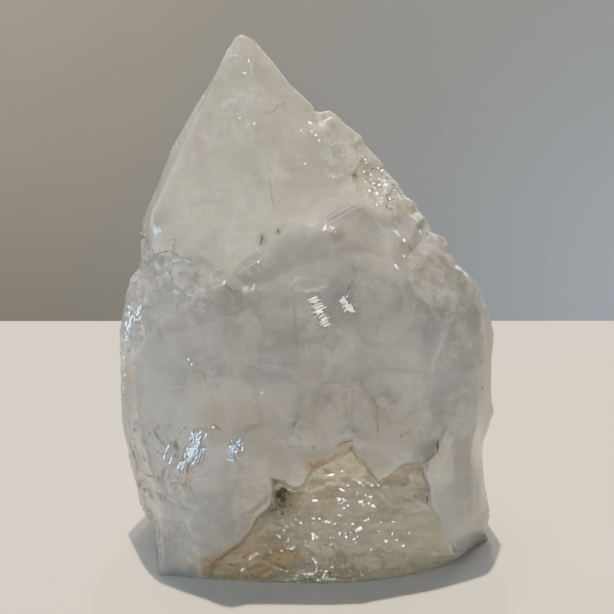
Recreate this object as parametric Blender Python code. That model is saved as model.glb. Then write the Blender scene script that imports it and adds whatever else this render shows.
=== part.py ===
"""Clear quartz point: one raw stone, standing on a flat sawn base.

Metres, +Z up, the front faces -Y, and the origin is the middle of the base.

The stone is built as a surveyor builds ground. Its front and its back are each a
surface of flat facets hung on break lines: crystal edges, the rims of broken
steps, and the outline where the two surfaces meet. The front lines are set out on
a drawing, the view of an eye in front of the stone and a little above it. A point
on the drawing is (across, down) in drawing units, and it is carried into the
stone along the eye's sight line, to a given depth, to a crystal face, or to the
floor. The back lines are plain millimetres.
"""

import math

import bmesh
import bpy
import numpy as np
from mathutils import Vector, noise
from mathutils.geometry import delaunay_2d_cdt

# Driving dimensions
UNIT = 0.00028  # one drawing unit at the axis of the stone
EYE_UNITS = 1146.0  # the eye's distance from the axis, in drawing units
EYE_RISE = math.radians(20.0)  # how far the eye looks down
AIM_HEIGHT = 0.0646  # where the eye's centre line meets the axis
CENTRE = (307.0, 307.0)  # the drawing's centre
MM = 0.001

GRID = 15.0  # spacing, on the drawing, of the points added between break lines
LINE_STEP = 13.0  # longest stretch of a break line without a point, on the drawing
CLEAR = 6.5  # how near to a break line an added point may come
LONGEST_EDGE = 0.0085  # longest edge left in the finished surface
SMOOTH_TURNS = 6  # how often the ground between the break lines is relaxed
SEED = 11.0
CHIP = 0.0065  # size of the chips on broken ground

RIGHT = Vector((1.0, 0.0, 0.0))
AHEAD = Vector((0.0, math.cos(EYE_RISE), -math.sin(EYE_RISE)))
UPWARD = Vector((0.0, math.sin(EYE_RISE), math.cos(EYE_RISE)))
EYE = Vector((0.0, 0.0, AIM_HEIGHT)) - AHEAD * (EYE_UNITS * UNIT)


def sight(across, down):
    """Direction from the eye through a point of the drawing."""
    return (
        AHEAD * EYE_UNITS
        + RIGHT * (across - CENTRE[0])
        + UPWARD * (CENTRE[1] - down)
    )


def at_depth(across, down, y_mm):
    """The point on the sight line at this depth, in mm, with minus nearer the eye."""
    line = sight(across, down)
    return EYE + line * ((y_mm * MM - EYE.y) / line.y)


def on_floor(across, down):
    line = sight(across, down)
    return EYE + line * (-EYE.z / line.z)


def drawn(point):
    """Where a point of the stone falls on the drawing."""
    away = point - EYE
    depth = away.dot(AHEAD)
    return Vector(
        (
            CENTRE[0] + EYE_UNITS * away.dot(RIGHT) / depth,
            CENTRE[1] - EYE_UNITS * away.dot(UPWARD) / depth,
        )
    )


def facing(turn, rise):
    """Unit normal turned so many degrees from the front towards +X, and raised."""
    turn, rise = math.radians(turn), math.radians(rise)
    return Vector(
        (
            math.sin(turn) * math.cos(rise),
            -math.cos(turn) * math.cos(rise),
            math.sin(rise),
        )
    )


TIP = at_depth(241.5, 33.0, 0.0)

# The crystal's faces, each a point on it and its normal
FACES = {
    "front": (TIP, facing(-12.0, 35.4)),  # broad termination face
    "right": (TIP, facing(22.0, 39.2)),  # the one beside it
    "A": (at_depth(292, 286, -41.2), facing(-4.0, 0.0)),  # lower body, left of centre
    "B": (at_depth(292, 286, -41.2), facing(4.0, 2.0)),  # centre
    "C": (at_depth(352, 280, -40.7), facing(20.0, 1.0)),  # broad right face
    "D": (at_depth(222, 330, -40.8), facing(-27.0, 0.0)),  # left side
    "foot": (at_depth(340, 583, -38.9), facing(2.0, 16.0)),  # recessed contact ground
    "block": (at_depth(430, 490, -36.0), facing(30.0, 0.0)),  # small block, lower right
}


def on_face(across, down, name):
    point, normal = FACES[name]
    line = sight(across, down)
    return EYE + line * ((point - EYE).dot(normal) / line.dot(normal))


def place(across, down, where, lift_mm=0.0):
    """A drawing point carried into the stone: where is a depth in mm, "floor" or a
    face's name, and lift_mm brings it towards the eye."""
    if where == "floor":
        return on_floor(across, down)
    if isinstance(where, str):
        point = on_face(across, down, where)
    else:
        point = at_depth(across, down, where)
    if lift_mm:
        line = sight(across, down)
        point = point - line * (lift_mm * MM / line.y)
    return point


# Outline, clockwise from the tip: across, down, depth
OUTLINE = [
    (241.5, 33, 0), (249, 37, "right"), (256, 42, "right"), (276, 65.5, "right"),
    (288.5, 83, "right"), (305, 98, "right"), (315.5, 108.5, "right"),
    (322, 108, "right", 0.4), (330, 110, "right", 0.4), (336, 114, "right"),
    (340, 122, "right", -1), (352, 133, "right", -1.5), (360, 138, "right", -1),
    (366.5, 146.5, "right", -2), (380, 163, "right", -2.6), (391.5, 176, "right", -3),
    (405, 195, "right", -4.4), (415, 205, "right", -5), (427, 218, "right", -6.4),
    (434, 231, "right", -8), (446, 245, -17.5), (460, 264, -17),
    (470, 275, -16.5), (480, 285, -16), (489, 299, -15.5), (494, 321, -15),
    (496.8, 332, -15), (495.6, 352, -14.5), (495, 381, -14), (495, 411, -13.5),
    (492, 429, -13.5), (487, 444, -13.5), (483.5, 454, -14), (487.5, 465, -14.5),
    (490, 490, -15), (490.5, 517, -15.5), (488, 539, "floor"), (465, 553, "floor"),
    (456, 558.5, "floor"), (451, 561, "floor"), (447, 563, "floor"),
    (427, 571, "floor"), (407, 576, "floor"), (380, 580, "floor"),
    (350, 582.5, "floor"), (320, 583.5, "floor"), (286, 583, "floor"),
    (256, 582, "floor"), (230, 581, "floor"), (210, 579.5, "floor"),
    (197, 578, "floor"), (178, 576, "floor"), (162, 574.5, "floor"),
    (158, 572.5, "floor"), (157, 557, -29), (155.5, 544, -25), (155, 527, -22),
    (150, 521, -20), (142, 510, -18), (137.5, 494, -16), (134.5, 476, -15),
    (127.5, 454, -13), (122, 424, -11), (120, 393, -10), (119.4, 367, -9),
    (121, 334, -8), (122.7, 311, -7), (126.4, 293, -6), (132, 281, -5), (138, 268, -3),
    (140.3, 257, -2), (140.3, 234, 1), (142, 220, 3), (148.5, 205, 4), (155, 193, 4.5),
    (170, 152, 4), (191, 114, 2.5), (208.6, 86, 1.5), (214.4, 75.7, 1.2),
    (222, 59, 0.6), (229, 47, 0.2), (236, 36, -0.2),
]
BASE_RIGHT, BASE_LEFT = 36, 53  # where the sawn base's two ends are in it

# Break lines of the front: across, down, where, and how far it stands proud
FRONT = {
    # edge between the left sliver and the front termination face
    "left_edge": [
        (229, 47.01, "front", -0.1), (214.5, 80, "front"), (203.5, 105, "front"),
        (191.5, 127, "front"), (179.5, 152, "front"), (169.5, 175.5, "front"),
        (159.5, 197.5, "front"), (152, 210, "front", -0.6), (149, 224, "front", -2.4),
        (149, 238, "front", -4),
    ],
    # shallow edge between the two big termination faces
    "centre_edge": [
        (241.5, 33.01, 0), (251, 52, "front"), (253, 79, "front"),
        (257, 112, "front"), (262, 135, "front"), (269, 174, "front"),
        (275, 209, "front"), (279, 236, "front"),
    ],
    # foot of the termination faces, where they run in behind the lower body
    "upper_foot": [
        (149, 238, "front", -4), (150, 250, "front", -5), (153, 261, "front", -4.6),
        (158, 255, "front", -3), (170, 252, "front", -2.2), (181, 258.5, "front", -2),
        (190, 257.5, "front", -1.4), (201, 256.5, "front", -0.8), (209, 260.5, "front", -0.4),
        (219, 269.5, "front"), (233.5, 275.5, "front"), (241, 269.5, "front"),
        (248, 263.5, "front"), (253, 255, "front"), (263, 251.5, "front"),
        (272, 245.5, "front"), (280, 240, "front"), (287, 235, "right"),
        (293, 231.5, "right"), (303, 228, "right"), (311, 227.5, "right"),
        (318, 229.5, "right"), (321, 222, "right"), (333, 217, "right"),
        (347, 211, "right"), (359, 203.5, "right"),
    ],
    # rim of the lower body above it
    "body_rim": [
        (228, 284, "front", 1.2), (236, 279, "front", 1.8), (246, 273, "front", 2.4),
        (258, 267, "front", 2.6), (268, 256.5, "front", 2.6), (280, 245, "front", 2.4),
        (289, 238.5, "right", 2.2), (296, 234.2, "right", 2.2), (304, 231.4, "right", 2.2),
        (311, 231.2, "right", 2.2), (319, 233.4, "right", 2.2), (325, 226, "right", 2.0),
        (334, 221.5, "right", 2.0), (348, 215.4, "right", 1.8), (361, 207.5, "right", 1.0),
    ],
    # inner side of the rough shoulder, and the bright crease that runs on from it
    "shoulder": [
        (315.5, 108.51, "right"), (319, 121, "right"), (324, 137, "right"),
        (331, 154, "right"), (341, 172, "right"), (352, 190, "right"),
        (359, 203.5, "right"), (361, 207.5, "right", 1.0), (371, 215, "right", 1.6),
        (384, 228, "right", 2.2), (394, 241, "right", 2.6), (400, 256, "right", 2.0),
        (404, 271, "C", -0.6), (414, 288, "C", -0.4), (426, 302, "C", -0.2),
        (446, 311, "C", -0.2), (466, 316, "C", -0.4), (483, 322, "C", -1.4),
    ],
    # where the right face turns away to the side of the stone
    "right_turn": [
        (460, 264.01, -17), (468, 279, -22), (477, 296, -25), (483, 322, "C", -1.4),
        (484, 352, "C", -1.0), (483, 381, "C", -1.0), (481, 408, "C", -1.0),
        (477, 426, "C", -1.2), (471, 438, "C", -1.8),
    ],
    # edges of the lower body's upright facets
    "edge_AB": [
        (289, 238.5, "right", 2.2), (291, 262, "A", 0.2), (292.5, 286, "A"),
        (294.5, 308, "A"), (296, 337, "A"), (300, 362, "A", -0.2),
    ],
    "edge_BC": [
        (348, 215.4, "right", 1.8), (350.5, 235, "C", -0.6), (352.5, 258, "C", 0.1),
        (352, 280, "C"), (349.5, 310, "B", 0.3), (351, 335, "B", 0.3), (357, 366, "B", 0.2),
    ],
    "wedge": [
        (350.5, 235, "C", -0.6), (364, 246, "C", -0.5), (380, 258, "C", -0.3),
        (394, 266.5, "C", 0), (404, 271, "C", -0.6),
    ],
    "edge_AD": [
        (228, 284, "front", 1.2), (222, 300, "A", -0.2), (222, 318, "A"),
        (223.5, 345, "A", 0.1), (229, 364, "A", 0.2), (226, 388, "A", 0.1),
        (225, 414, "A", 0.4), (229, 440, "A", 0.4),
    ],
    # the pale block on the left shoulder
    "shoulder_block": [
        (228, 284, "front", 1.2), (214, 288, "D", 1.2), (200, 291.5, "D", 1.4),
        (191, 302, "D", 1.5), (179, 312.5, "D", 1.6), (163, 323, "D", 1.6),
        (148, 337, "D", 1.4), (138, 349, "D", 0.2), (128, 356, -20), (119.4, 367.01, -9),
    ],
    "shoulder_crest": [
        (228, 284, "front", 1.2), (233.5, 275.5, "front"),
    ],
    "left_bulge": [
        (126.4, 293.01, -6), (136, 290, -18), (146, 284, -28), (153, 261, "front", -4.6),
    ],
    "left_bulge_low": [
        (146, 284, -28), (146, 305, -29), (144, 324, -29), (148, 337, "D", 1.4),
    ],
    # sunk crystal faces low in the middle
    "inset_left": [
        (300, 362, "A", -0.2), (304, 378, "B", -0.3), (302.5, 396, "B", -0.5),
        (297, 418, "B", -0.6), (291, 435, "B", -0.6), (286.5, 445, "A", -0.5),
        (291, 455, "A", -0.2),
    ],
    "inset_right": [
        (357, 366, "B", 0.2), (358.5, 379, "C", 0.2), (368, 393, "C", 0.2),
        (377, 405, "C", 0.3), (378, 432, "C", 0.3), (380, 452, "C", 0),
    ],
    "inset_mid": [
        (357, 366, "B", 0.2), (353, 384, "B", -0.5), (353, 428, "B", -0.8),
        (361, 441, "B", -0.4), (369, 455, "C", -0.2),
    ],
    "inset_strip": [
        (353, 384, "B", -0.5), (344.5, 392, "B", 0.1), (343, 412, "B", 0),
        (339, 436, "B", -0.2),
    ],
    # lower edge of the body and its lobes, standing out over the foot
    "lobe_rim": [
        (197, 578.01, "floor"), (197, 568, -37.2), (198, 561, -38), (204, 554, -38.8),
        (216, 557.3, -38.9), (225, 552.5, -39.4), (239, 542, -40.2), (249, 531, -40.8),
        (256.5, 516.5, -41.2), (264, 511, -41.2), (270.5, 505, -41), (272, 494, -40.6),
        (271, 478, -40.6), (277, 478.5, -40.6), (284, 482, -40.8), (291, 486.3, -41),
        (297.5, 487.3, -41), (303, 484.3, -41), (306.5, 477, -40.8), (310, 469.5, -40.6),
        (320, 462, -40.4), (336, 456, -40), (346, 451.5, -39.8), (352, 444.5, -39.8),
        (356, 454, -39.4), (362, 461, -39), (367, 465.4, -38.8), (370.5, 473, -38.4),
        (379, 480.3, -38), (388.5, 476, -37.8), (394, 470, -37.6), (401, 464.8, -37.2),
        (413.5, 462, -36.6), (418, 465.5, -36.4), (424.5, 461.5, -36.2),
        (425.3, 473, "block"), (430.3, 486, "block"), (432, 504, "block"),
        (439.6, 513, "block"), (443, 527, "block"), (451, 540.5, "block"),
        (457, 553.5, "block", -1), (456, 558.51, "floor"),
    ],
    # the foot's own top edge, in under that rim
    "foot_top": [
        (197.01, 578.01, "floor"), (200, 569, "foot", -0.2), (204, 560.5, "foot", -0.3),
        (216, 561.5, "foot", -0.4), (227, 556, "foot", -0.5), (241, 545.5, "foot", -0.8),
        (251.5, 533.5, "foot", -1), (259, 519, "foot", -1.4), (266, 513.5, "foot", -2.4),
        (273, 508, "foot", -3.5), (276, 496, "foot", -5.5), (275, 483, "foot", -4.5),
        (283, 486.5, "foot", -5.5), (290, 490.5, "foot", -4), (298, 491.5, "foot", -2),
        (305.5, 487.5, "foot", -1), (309.5, 479, "foot", -0.6), (312.5, 471.5, "foot", -0.2),
        (321, 464.8, "foot"), (337, 459, "foot", 0.4), (347.5, 454.5, "foot", 0.6),
        (352.2, 451, "foot", 0.6), (354.5, 457, "foot", 0.4), (361, 464.3, "foot"),
        (364.8, 467.4, "foot", -0.2), (368.2, 475, "foot", -0.4), (379, 483.6, "foot", -0.6),
        (390, 479, "foot", 0), (396, 472.6, "foot", 1), (402, 467.8, "foot", 1.4),
        (412.5, 465.2, "foot", 1.4), (417.8, 469.4, "foot", 1), (422.3, 467, "foot", 0.8),
        (422.4, 474, "foot", 0.8), (427.4, 487, "foot", 0.8), (429, 505, "foot", 0.6),
        (437, 515.3, "foot", 0.2), (440, 528.3, "foot", 0), (447.6, 542.3, "foot", -0.6),
        (452.6, 554, "foot", -2.4), (451, 561.01, "floor"),
    ],
    # pale tread at the right of the foot
    "foot_tread": [
        (390, 479, "foot"), (393, 487, "foot", 0), (404, 492, "foot", 0),
        (415, 502, "foot", 0.4), (429, 505, "foot", 0.6),
    ],
    "foot_hollow": [
        (259, 519, "foot", -1.4), (284, 519, "foot", -2.2), (297, 505, "foot", -2),
        (305.5, 487.5, "foot", -1),
    ],
    # joint between the body and the small block at the lower right
    "block_top": [
        (424.5, 461.5, -36.2), (431, 456, -35.2), (438, 450.5, -34), (450, 442.5, -30.6),
        (462, 437, -27.6), (471, 438, "C", -1.8), (478, 445, -20), (483.5, 454.01, -14),
    ],
    "block_turn": [
        (471, 438, "C", -1.8), (476, 465, -24.5), (478, 500, -24.5), (475, 530, -22.6),
        (474, 547.5, "floor"),
    ],
    # swell of the left lobe, and the hollow above it
    "lobe_crest": [
        (229, 440, "A", 0.4), (236, 462, "A", 1.0), (238, 490, -42.2), (232, 518, -41.4),
        (222, 540, -40.2),
    ],
    "lobe_left": [
        (229, 440, "A", 0.4), (206, 434, "D", -0.8), (198, 452, "D", -0.6), (193, 478, "D", -0.2),
        (192, 505, -36.8), (196, 535, -37.4), (204, 554, -38.8),
    ],
    "left_low": [
        (120, 393.01, -10), (136, 396, "D", -1.6), (160, 404, "D"), (184, 418, "D", -0.4),
        (206, 434, "D", -0.8),
    ],
    "left_flank": [
        (136, 396, "D", -1.6), (139, 430, "D", -1.4), (148, 464, "D", -1), (157, 494, "D", -0.6),
        (162, 520, -30.5), (164, 548, -32.6), (162, 574.51, "floor"),
    ],
    "left_turn": [
        (138, 349, "D", 0.2), (134, 372, "D", -1.2), (136, 396, "D", -1.6),
    ],
}


# The back, in plain millimetres, as edges on it
BACK_TIP = (-17.4, 2.4, 137.6)
BACK = {
    "ridge_left": [BACK_TIP, (-24.0, 20.5, 108.0), (-32.0, 34.0, 87.0)],
    "ridge_right": [BACK_TIP, (1.5, 20.5, 107.5), (20.0, 38.0, 78.5)],
    "crown": [
        (-43.6, 12.0, 88.5), (-32.0, 34.0, 87.0), (-9.0, 40.6, 80.0), (20.0, 38.0, 78.5),
        (39.5, 18.5, 70.0), (45.6, -1.0, 68.0),
    ],
    "left_wall": [
        (-43.6, 12.0, 88.5), (-46.4, 9.0, 66.0), (-46.6, 5.0, 40.0), (-45.6, 0.0, 18.0),
        (-43.0, -4.0, 0.0),
    ],
    "left_back": [
        (-32.0, 34.0, 87.0), (-35.6, 33.0, 60.0), (-34.6, 32.0, 28.0), (-31.0, 29.5, 0.0),
    ],
    "right_back": [
        (20.0, 38.0, 78.5), (23.5, 40.0, 55.0), (24.5, 39.5, 26.0), (22.0, 36.5, 0.0),
    ],
    "right_wall": [
        (45.6, -1.0, 68.0), (48.0, 3.0, 46.0), (47.6, 2.0, 22.0), (46.0, 0.0, 0.0),
    ],
    "right_corner": [
        (39.5, 18.5, 70.0), (42.0, 21.0, 45.0), (40.5, 19.0, 0.0),
    ],
    # a growth ledge that crosses the back face under the crown
    "ledge": [
        (-31.0, 34.4, 62.6), (-25.0, 36.6, 66.6), (-13.0, 40.2, 68.6), (3.0, 41.6, 64.4),
        (12.0, 40.8, 64.8), (18.5, 39.9, 61.0),
    ],
    "ledge_foot": [
        (-31.0, 34.4, 62.6), (-25.0, 35.6, 65.0), (-13.0, 38.8, 66.2), (3.0, 40.2, 62.4),
        (12.0, 39.9, 63.2), (18.5, 39.9, 61.0),
    ],
    # shallow scar of an old break low on the back
    "scar": [
        (15.0, 40.6, 49.0), (3.0, 42.2, 55.0), (-11.0, 41.2, 51.0), (-21.0, 38.2, 37.0),
        (-18.0, 37.2, 20.0), (-5.0, 38.4, 12.0), (8.0, 39.2, 18.0), (16.0, 40.0, 32.0),
        (15.0, 40.6, 49.0),
    ],
    "scar_deep": [(-7.0, 36.6, 39.0), (1.0, 35.8, 30.0), (3.0, 36.6, 22.0)],
    # back of the sawn base, from the left outline round to the right
    "base": [
        "left", (-42.6, -18.0, 0.0), (-43.0, -4.0, 0.0), (-39.0, 17.0, 0.0),
        (-31.0, 29.5, 0.0), (-13.0, 35.5, 0.0), (5.0, 37.4, 0.0), (22.0, 36.5, 0.0),
        (40.5, 19.0, 0.0), (46.0, 0.0, 0.0), "right",
    ],
}


# Broken ground, as areas of the drawing with how rough they are, in mm
ROUGH = {
    "shoulder": (1.3, [
        (312, 100), (336, 104), (372, 142), (410, 190), (440, 226), (476, 270),
        (488, 300), (484, 318), (446, 308), (426, 299), (410, 278), (400, 256),
        (394, 241), (371, 215), (359, 203), (341, 172), (324, 137),
    ]),
    "left_shoulder": (0.9, [
        (136, 232), (150, 240), (152, 262), (182, 262), (168, 284), (154, 306),
        (150, 332), (136, 350), (112, 352), (120, 290),
    ]),
    "foot": (0.55, [
        (203, 571), (216, 564), (241, 548), (262, 519), (280, 505), (300, 494),
        (314, 472), (352, 456), (366, 474), (380, 486), (398, 474), (420, 470),
        (426, 490), (437, 520), (449, 552), (430, 566), (380, 577), (300, 580),
    ]),
    "lower_left": (0.5, [
        (128, 420), (185, 425), (196, 480), (192, 530), (160, 560), (120, 520),
    ]),
}
# the same on the back: roughness, then a middle and a reach in mm
ROUGH_BACK = [
    (0.8, (-2.0, 39.5, 34.0), 26.0), (0.9, (-39.0, 24.0, 14.0), 22.0),
    (0.7, (44.0, 8.0, 76.0), 18.0), (0.6, (30.0, 34.0, 6.0), 20.0),
]


class Survey:
    """Points and break lines of one side, joined into triangles on the drawing."""

    def __init__(self):
        self.points, self.flat, self.edges, self.rim = [], [], [], []

    def point(self, spot3):
        spot = drawn(spot3)
        for index, other in enumerate(self.flat):
            if (other - spot).length < 0.06:
                return index
        self.points.append(spot3)
        self.flat.append(spot)
        return len(self.points) - 1

    def line(self, run):
        ends = [self.point(p) for p in stepped(run)]
        self.edges += [(a, b) for a, b in zip(ends, ends[1:]) if a != b]

    def triangles(self):
        flat, _, faces, origin, _, _ = delaunay_2d_cdt(
            self.flat, self.edges, [self.rim], 1, 1e-4
        )
        points = []
        for spot, came in zip(flat, origin):
            if not came:
                raise ValueError(f"break lines cross at {spot[0]:.1f}, {spot[1]:.1f}")
            points.append(self.points[came[0]])
        return points, faces

    def fill_in(self):
        """Adds a staggered grid of points on the facets, clear of the break lines.
        The sawn base stays as it is."""
        points, faces = self.triangles()
        flats = [drawn(p) for p in points]
        corners = np.array([[flats[i] for i in f] for f in faces])
        on_base = np.array([all(abs(points[i].z) < 1e-7 for i in f) for f in faces])
        loop = list(zip(self.rim, self.rim[1:] + self.rim[:1]))
        runs = np.array(
            [[self.flat[a], self.flat[b]] for a, b in self.edges + loop], float
        )
        a, ab = runs[:, 0], runs[:, 1] - runs[:, 0]
        low, high = corners.min(axis=(0, 1)), corners.max(axis=(0, 1))
        for row, down in enumerate(np.arange(low[1], high[1], GRID * 0.87)):
            for across in np.arange(low[0] + row % 2 * GRID / 2, high[0], GRID):
                wobble = noise.noise_vector(Vector((across, down, SEED))) * 0.25 * GRID
                spot = np.array((across + wobble.x, down + wobble.y))
                along = ((spot - a) * ab).sum(1) / (ab * ab).sum(1).clip(1e-9)
                near = a + ab * along.clip(0, 1)[:, None]
                if np.hypot(*(near - spot).T).min() < CLEAR:
                    continue
                found = holding(corners, spot)
                if found is None or on_base[found]:
                    continue
                p, q, r = (points[i] for i in faces[found])
                normal = (q - p).cross(r - p)
                way = sight(*spot)
                self.points.append(EYE + way * ((p - EYE).dot(normal) / way.dot(normal)))
                self.flat.append(Vector(spot))


def stepped(run):
    """The same line with points added so that no stretch of it is long."""
    steps = [run[0]]
    for start, end in zip(run, run[1:]):
        flat_start, flat_end = drawn(start), drawn(end)
        parts = max(1, math.ceil((flat_end - flat_start).length / LINE_STEP))
        for k in range(1, parts):
            steps.append(start.lerp(end, k / parts))
        steps.append(end)
    return steps


def holding(corners, spot):
    """Index of the triangle of the drawing that holds the spot."""
    p, q, r = corners[:, 0], corners[:, 1], corners[:, 2]

    def side(m, n):
        return (n[:, 0] - m[:, 0]) * (spot[1] - m[:, 1]) - (n[:, 1] - m[:, 1]) * (
            spot[0] - m[:, 0]
        )

    s, t, u = side(p, q), side(q, r), side(r, p)
    inside = ((s >= 0) & (t >= 0) & (u >= 0)) | ((s <= 0) & (t <= 0) & (u <= 0))
    found = np.flatnonzero(inside)
    return int(found[0]) if len(found) else None


def outline_points():
    return [place(*p) for p in OUTLINE]


def closed_rim(side):
    rim = outline_points()
    run = stepped(rim + rim[:1])[:-1]
    side.rim = [side.point(p) for p in run]
    return rim


def front_side():
    side = Survey()
    closed_rim(side)
    for run in FRONT.values():
        side.line([place(*p) for p in run])
    side.fill_in()
    return side


def back_side():
    side = Survey()
    rim = closed_rim(side)
    ends = {"left": rim[BASE_LEFT], "right": rim[BASE_RIGHT]}
    for run in BACK.values():
        side.line([ends[p] if isinstance(p, str) else Vector(p) * MM for p in run])
    side.fill_in()
    return side


def stone_mesh():
    """One closed surface: the front and back joined round the outline."""
    mesh = bmesh.new()
    made = {}

    def corner(spot3):
        key = tuple(round(c, 6) for c in spot3)
        if key not in made:
            made[key] = mesh.verts.new(spot3)
        return made[key]

    firm = set()
    for side, turn in ((front_side(), False), (back_side(), True)):
        points, faces = side.triangles()
        for face in faces:
            ring = [corner(points[i]) for i in face]
            mesh.faces.new(ring[::-1] if turn else ring)
        loop = list(zip(side.rim, side.rim[1:] + side.rim[:1]))
        for a, b in side.edges + loop:
            firm.add(frozenset((corner(side.points[a]), corner(side.points[b]))))
    bmesh.ops.recalc_face_normals(mesh, faces=mesh.faces)
    crease = mesh.edges.layers.float.new("crease_edge")
    for edge in mesh.edges:
        edge[crease] = 1.0 if frozenset(edge.verts) in firm else 0.0
    return mesh


def on_base(vert):
    return abs(vert.co.z) < 1e-6


def break_long_edges(mesh):
    for _ in range(4):
        long = [
            e
            for e in mesh.edges
            if e.calc_length() > LONGEST_EDGE and not (on_base(e.verts[0]) and on_base(e.verts[1]))
        ]
        if not long:
            break
        bmesh.ops.subdivide_edges(mesh, edges=long, cuts=1)
        bmesh.ops.triangulate(
            mesh, faces=[f for f in mesh.faces if len(f.verts) > 3], quad_method="SHORT_EDGE"
        )


def relax(mesh):
    """Smooths the ground between the break lines, which stay where they are."""
    crease = mesh.edges.layers.float["crease_edge"]
    free = [
        v
        for v in mesh.verts
        if not on_base(v) and not any(e[crease] > 0.5 for e in v.link_edges)
    ]
    for _ in range(SMOOTH_TURNS):
        bmesh.ops.smooth_vert(
            mesh, verts=free, factor=0.5, use_axis_x=True, use_axis_y=True, use_axis_z=True
        )


def inside(area, spot):
    """Whether the spot of the drawing lies in the area."""
    within = False
    for (x1, y1), (x2, y2) in zip(area, area[1:] + area[:1]):
        if (y1 > spot[1]) != (y2 > spot[1]):
            if spot[0] < x1 + (spot[1] - y1) * (x2 - x1) / (y2 - y1):
                within = not within
    return within


def roughness(vert):
    """How rough the ground is here, in mm."""
    if on_base(vert):
        return 0.0
    spot = drawn(vert.co)
    way = (EYE - vert.co).normalized()
    most = 0.0
    if vert.normal.dot(way) > -0.15:
        most = max([size for size, area in ROUGH.values() if inside(area, spot)] + [0.0])
    for size, middle, reach in ROUGH_BACK:
        near = 1.0 - (vert.co - Vector(middle) * MM).length / (reach * MM)
        most = max(most, size * min(1.0, max(0.0, 2.5 * near)))
    return most * min(1.0, vert.co.z / (4 * MM))


def chip(mesh):
    """Breaks the rough ground into small tilted chips."""
    mesh.normal_update()
    moves = []
    for vert in mesh.verts:
        size = roughness(vert)
        if size <= 0.0:
            continue
        spot = vert.co / CHIP
        _, cells = noise.voronoi(spot)
        tilt = noise.noise_vector(cells[0] * 7.3 + Vector((SEED, 0, 0)))
        rise = (spot - cells[0]).dot(tilt) * 1.6 + tilt.x * 0.8
        moves.append((vert, vert.normal * (rise * size * MM)))
    for vert, move in moves:
        vert.co += move


def main():
    for old in list(bpy.data.objects):
        bpy.data.objects.remove(old)
    mesh = stone_mesh()
    break_long_edges(mesh)
    relax(mesh)
    chip(mesh)
    data = bpy.data.meshes.new("quartz_point")
    mesh.to_mesh(data)
    mesh.free()
    stone = bpy.data.objects.new("quartz_point", data)
    bpy.context.scene.collection.objects.link(stone)
    material = bpy.data.materials.new("milky_quartz")
    material.use_nodes = True
    shader = material.node_tree.nodes["Principled BSDF"]
    shader.inputs["Base Color"].default_value = (0.62, 0.60, 0.55, 1.0)
    shader.inputs["Roughness"].default_value = 0.18
    shader.inputs["Metallic"].default_value = 0.0
    data.materials.append(material)


main()
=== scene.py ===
"""Looks of a raw quartz point that stands on its sawn base.

The stone is one skin of clear-to-milky quartz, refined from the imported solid, with
the veils and healed cracks that are sealed in it as pieces of their own.
Marks on its front are laid out in a drawing of 614 units a side, seen from EYE.
"""

import math

import bmesh
import bpy
import numpy as np
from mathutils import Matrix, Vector
from mathutils.bvhtree import BVHTree


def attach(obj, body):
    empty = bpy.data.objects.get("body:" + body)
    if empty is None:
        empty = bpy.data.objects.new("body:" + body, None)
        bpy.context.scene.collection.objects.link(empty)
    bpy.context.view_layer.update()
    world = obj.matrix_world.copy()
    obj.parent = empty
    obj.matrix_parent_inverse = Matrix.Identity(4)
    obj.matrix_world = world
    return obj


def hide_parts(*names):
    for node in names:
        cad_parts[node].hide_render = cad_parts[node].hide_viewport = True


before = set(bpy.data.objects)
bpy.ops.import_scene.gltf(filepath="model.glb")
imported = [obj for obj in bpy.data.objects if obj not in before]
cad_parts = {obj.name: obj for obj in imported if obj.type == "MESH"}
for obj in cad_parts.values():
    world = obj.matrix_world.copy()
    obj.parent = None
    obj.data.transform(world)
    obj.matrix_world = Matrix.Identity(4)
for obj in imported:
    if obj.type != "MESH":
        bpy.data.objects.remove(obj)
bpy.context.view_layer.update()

SCENE = bpy.context.scene

# ---------------------------------------------------------------- the drawing
UNIT = 0.00028
EYE_UNITS = 1146.0
EYE_RISE = math.radians(20.0)
AIM_HEIGHT = 0.0646
MIDDLE = 307.0
MM = 0.001


class Look:
    """A drawing of the stone from one side; azimuth 0 is the front, 90 the side at +X."""

    def __init__(self, azimuth):
        c, s = math.cos(math.radians(azimuth)), math.sin(math.radians(azimuth))
        turn = np.array(((c, -s, 0.0), (s, c, 0.0), (0.0, 0.0, 1.0)))
        self.turn = turn
        self.right = turn @ (1.0, 0.0, 0.0)
        self.ahead = turn @ (0.0, math.cos(EYE_RISE), -math.sin(EYE_RISE))
        self.up = turn @ (0.0, math.sin(EYE_RISE), math.cos(EYE_RISE))
        self.eye = np.array((0.0, 0.0, AIM_HEIGHT)) - self.ahead * (EYE_UNITS * UNIT)

    def drawn(self, points):
        """Places in the drawing of an array of points."""
        away = points - self.eye
        depth = away @ self.ahead
        return np.stack(
            (
                MIDDLE + EYE_UNITS * (away @ self.right) / depth,
                MIDDLE - EYE_UNITS * (away @ self.up) / depth,
            ),
            axis=1,
        )

    def sight(self, across, down):
        line = self.ahead * EYE_UNITS + self.right * (across - MIDDLE) + self.up * (MIDDLE - down)
        return line / np.linalg.norm(line)

    def facing(self, points, normals):
        """How squarely the ground faces this eye: 1 head on, 0 edge on."""
        look = self.eye - points
        look = look / np.linalg.norm(look, axis=1)[:, None]
        return (normals * look).sum(1)


FRONT_LOOK = Look(0)
SIDE_LOOK = Look(90)
BACK_LOOK = Look(180)
LEFT_LOOK = Look(270)
EYE = FRONT_LOOK.eye
drawn = FRONT_LOOK.drawn


def ramp(value, low, high):
    """0 below low, 1 above high, smooth between."""
    t = np.clip((value - low) / (high - low), 0.0, 1.0)
    return t * t * (3.0 - 2.0 * t)


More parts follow.
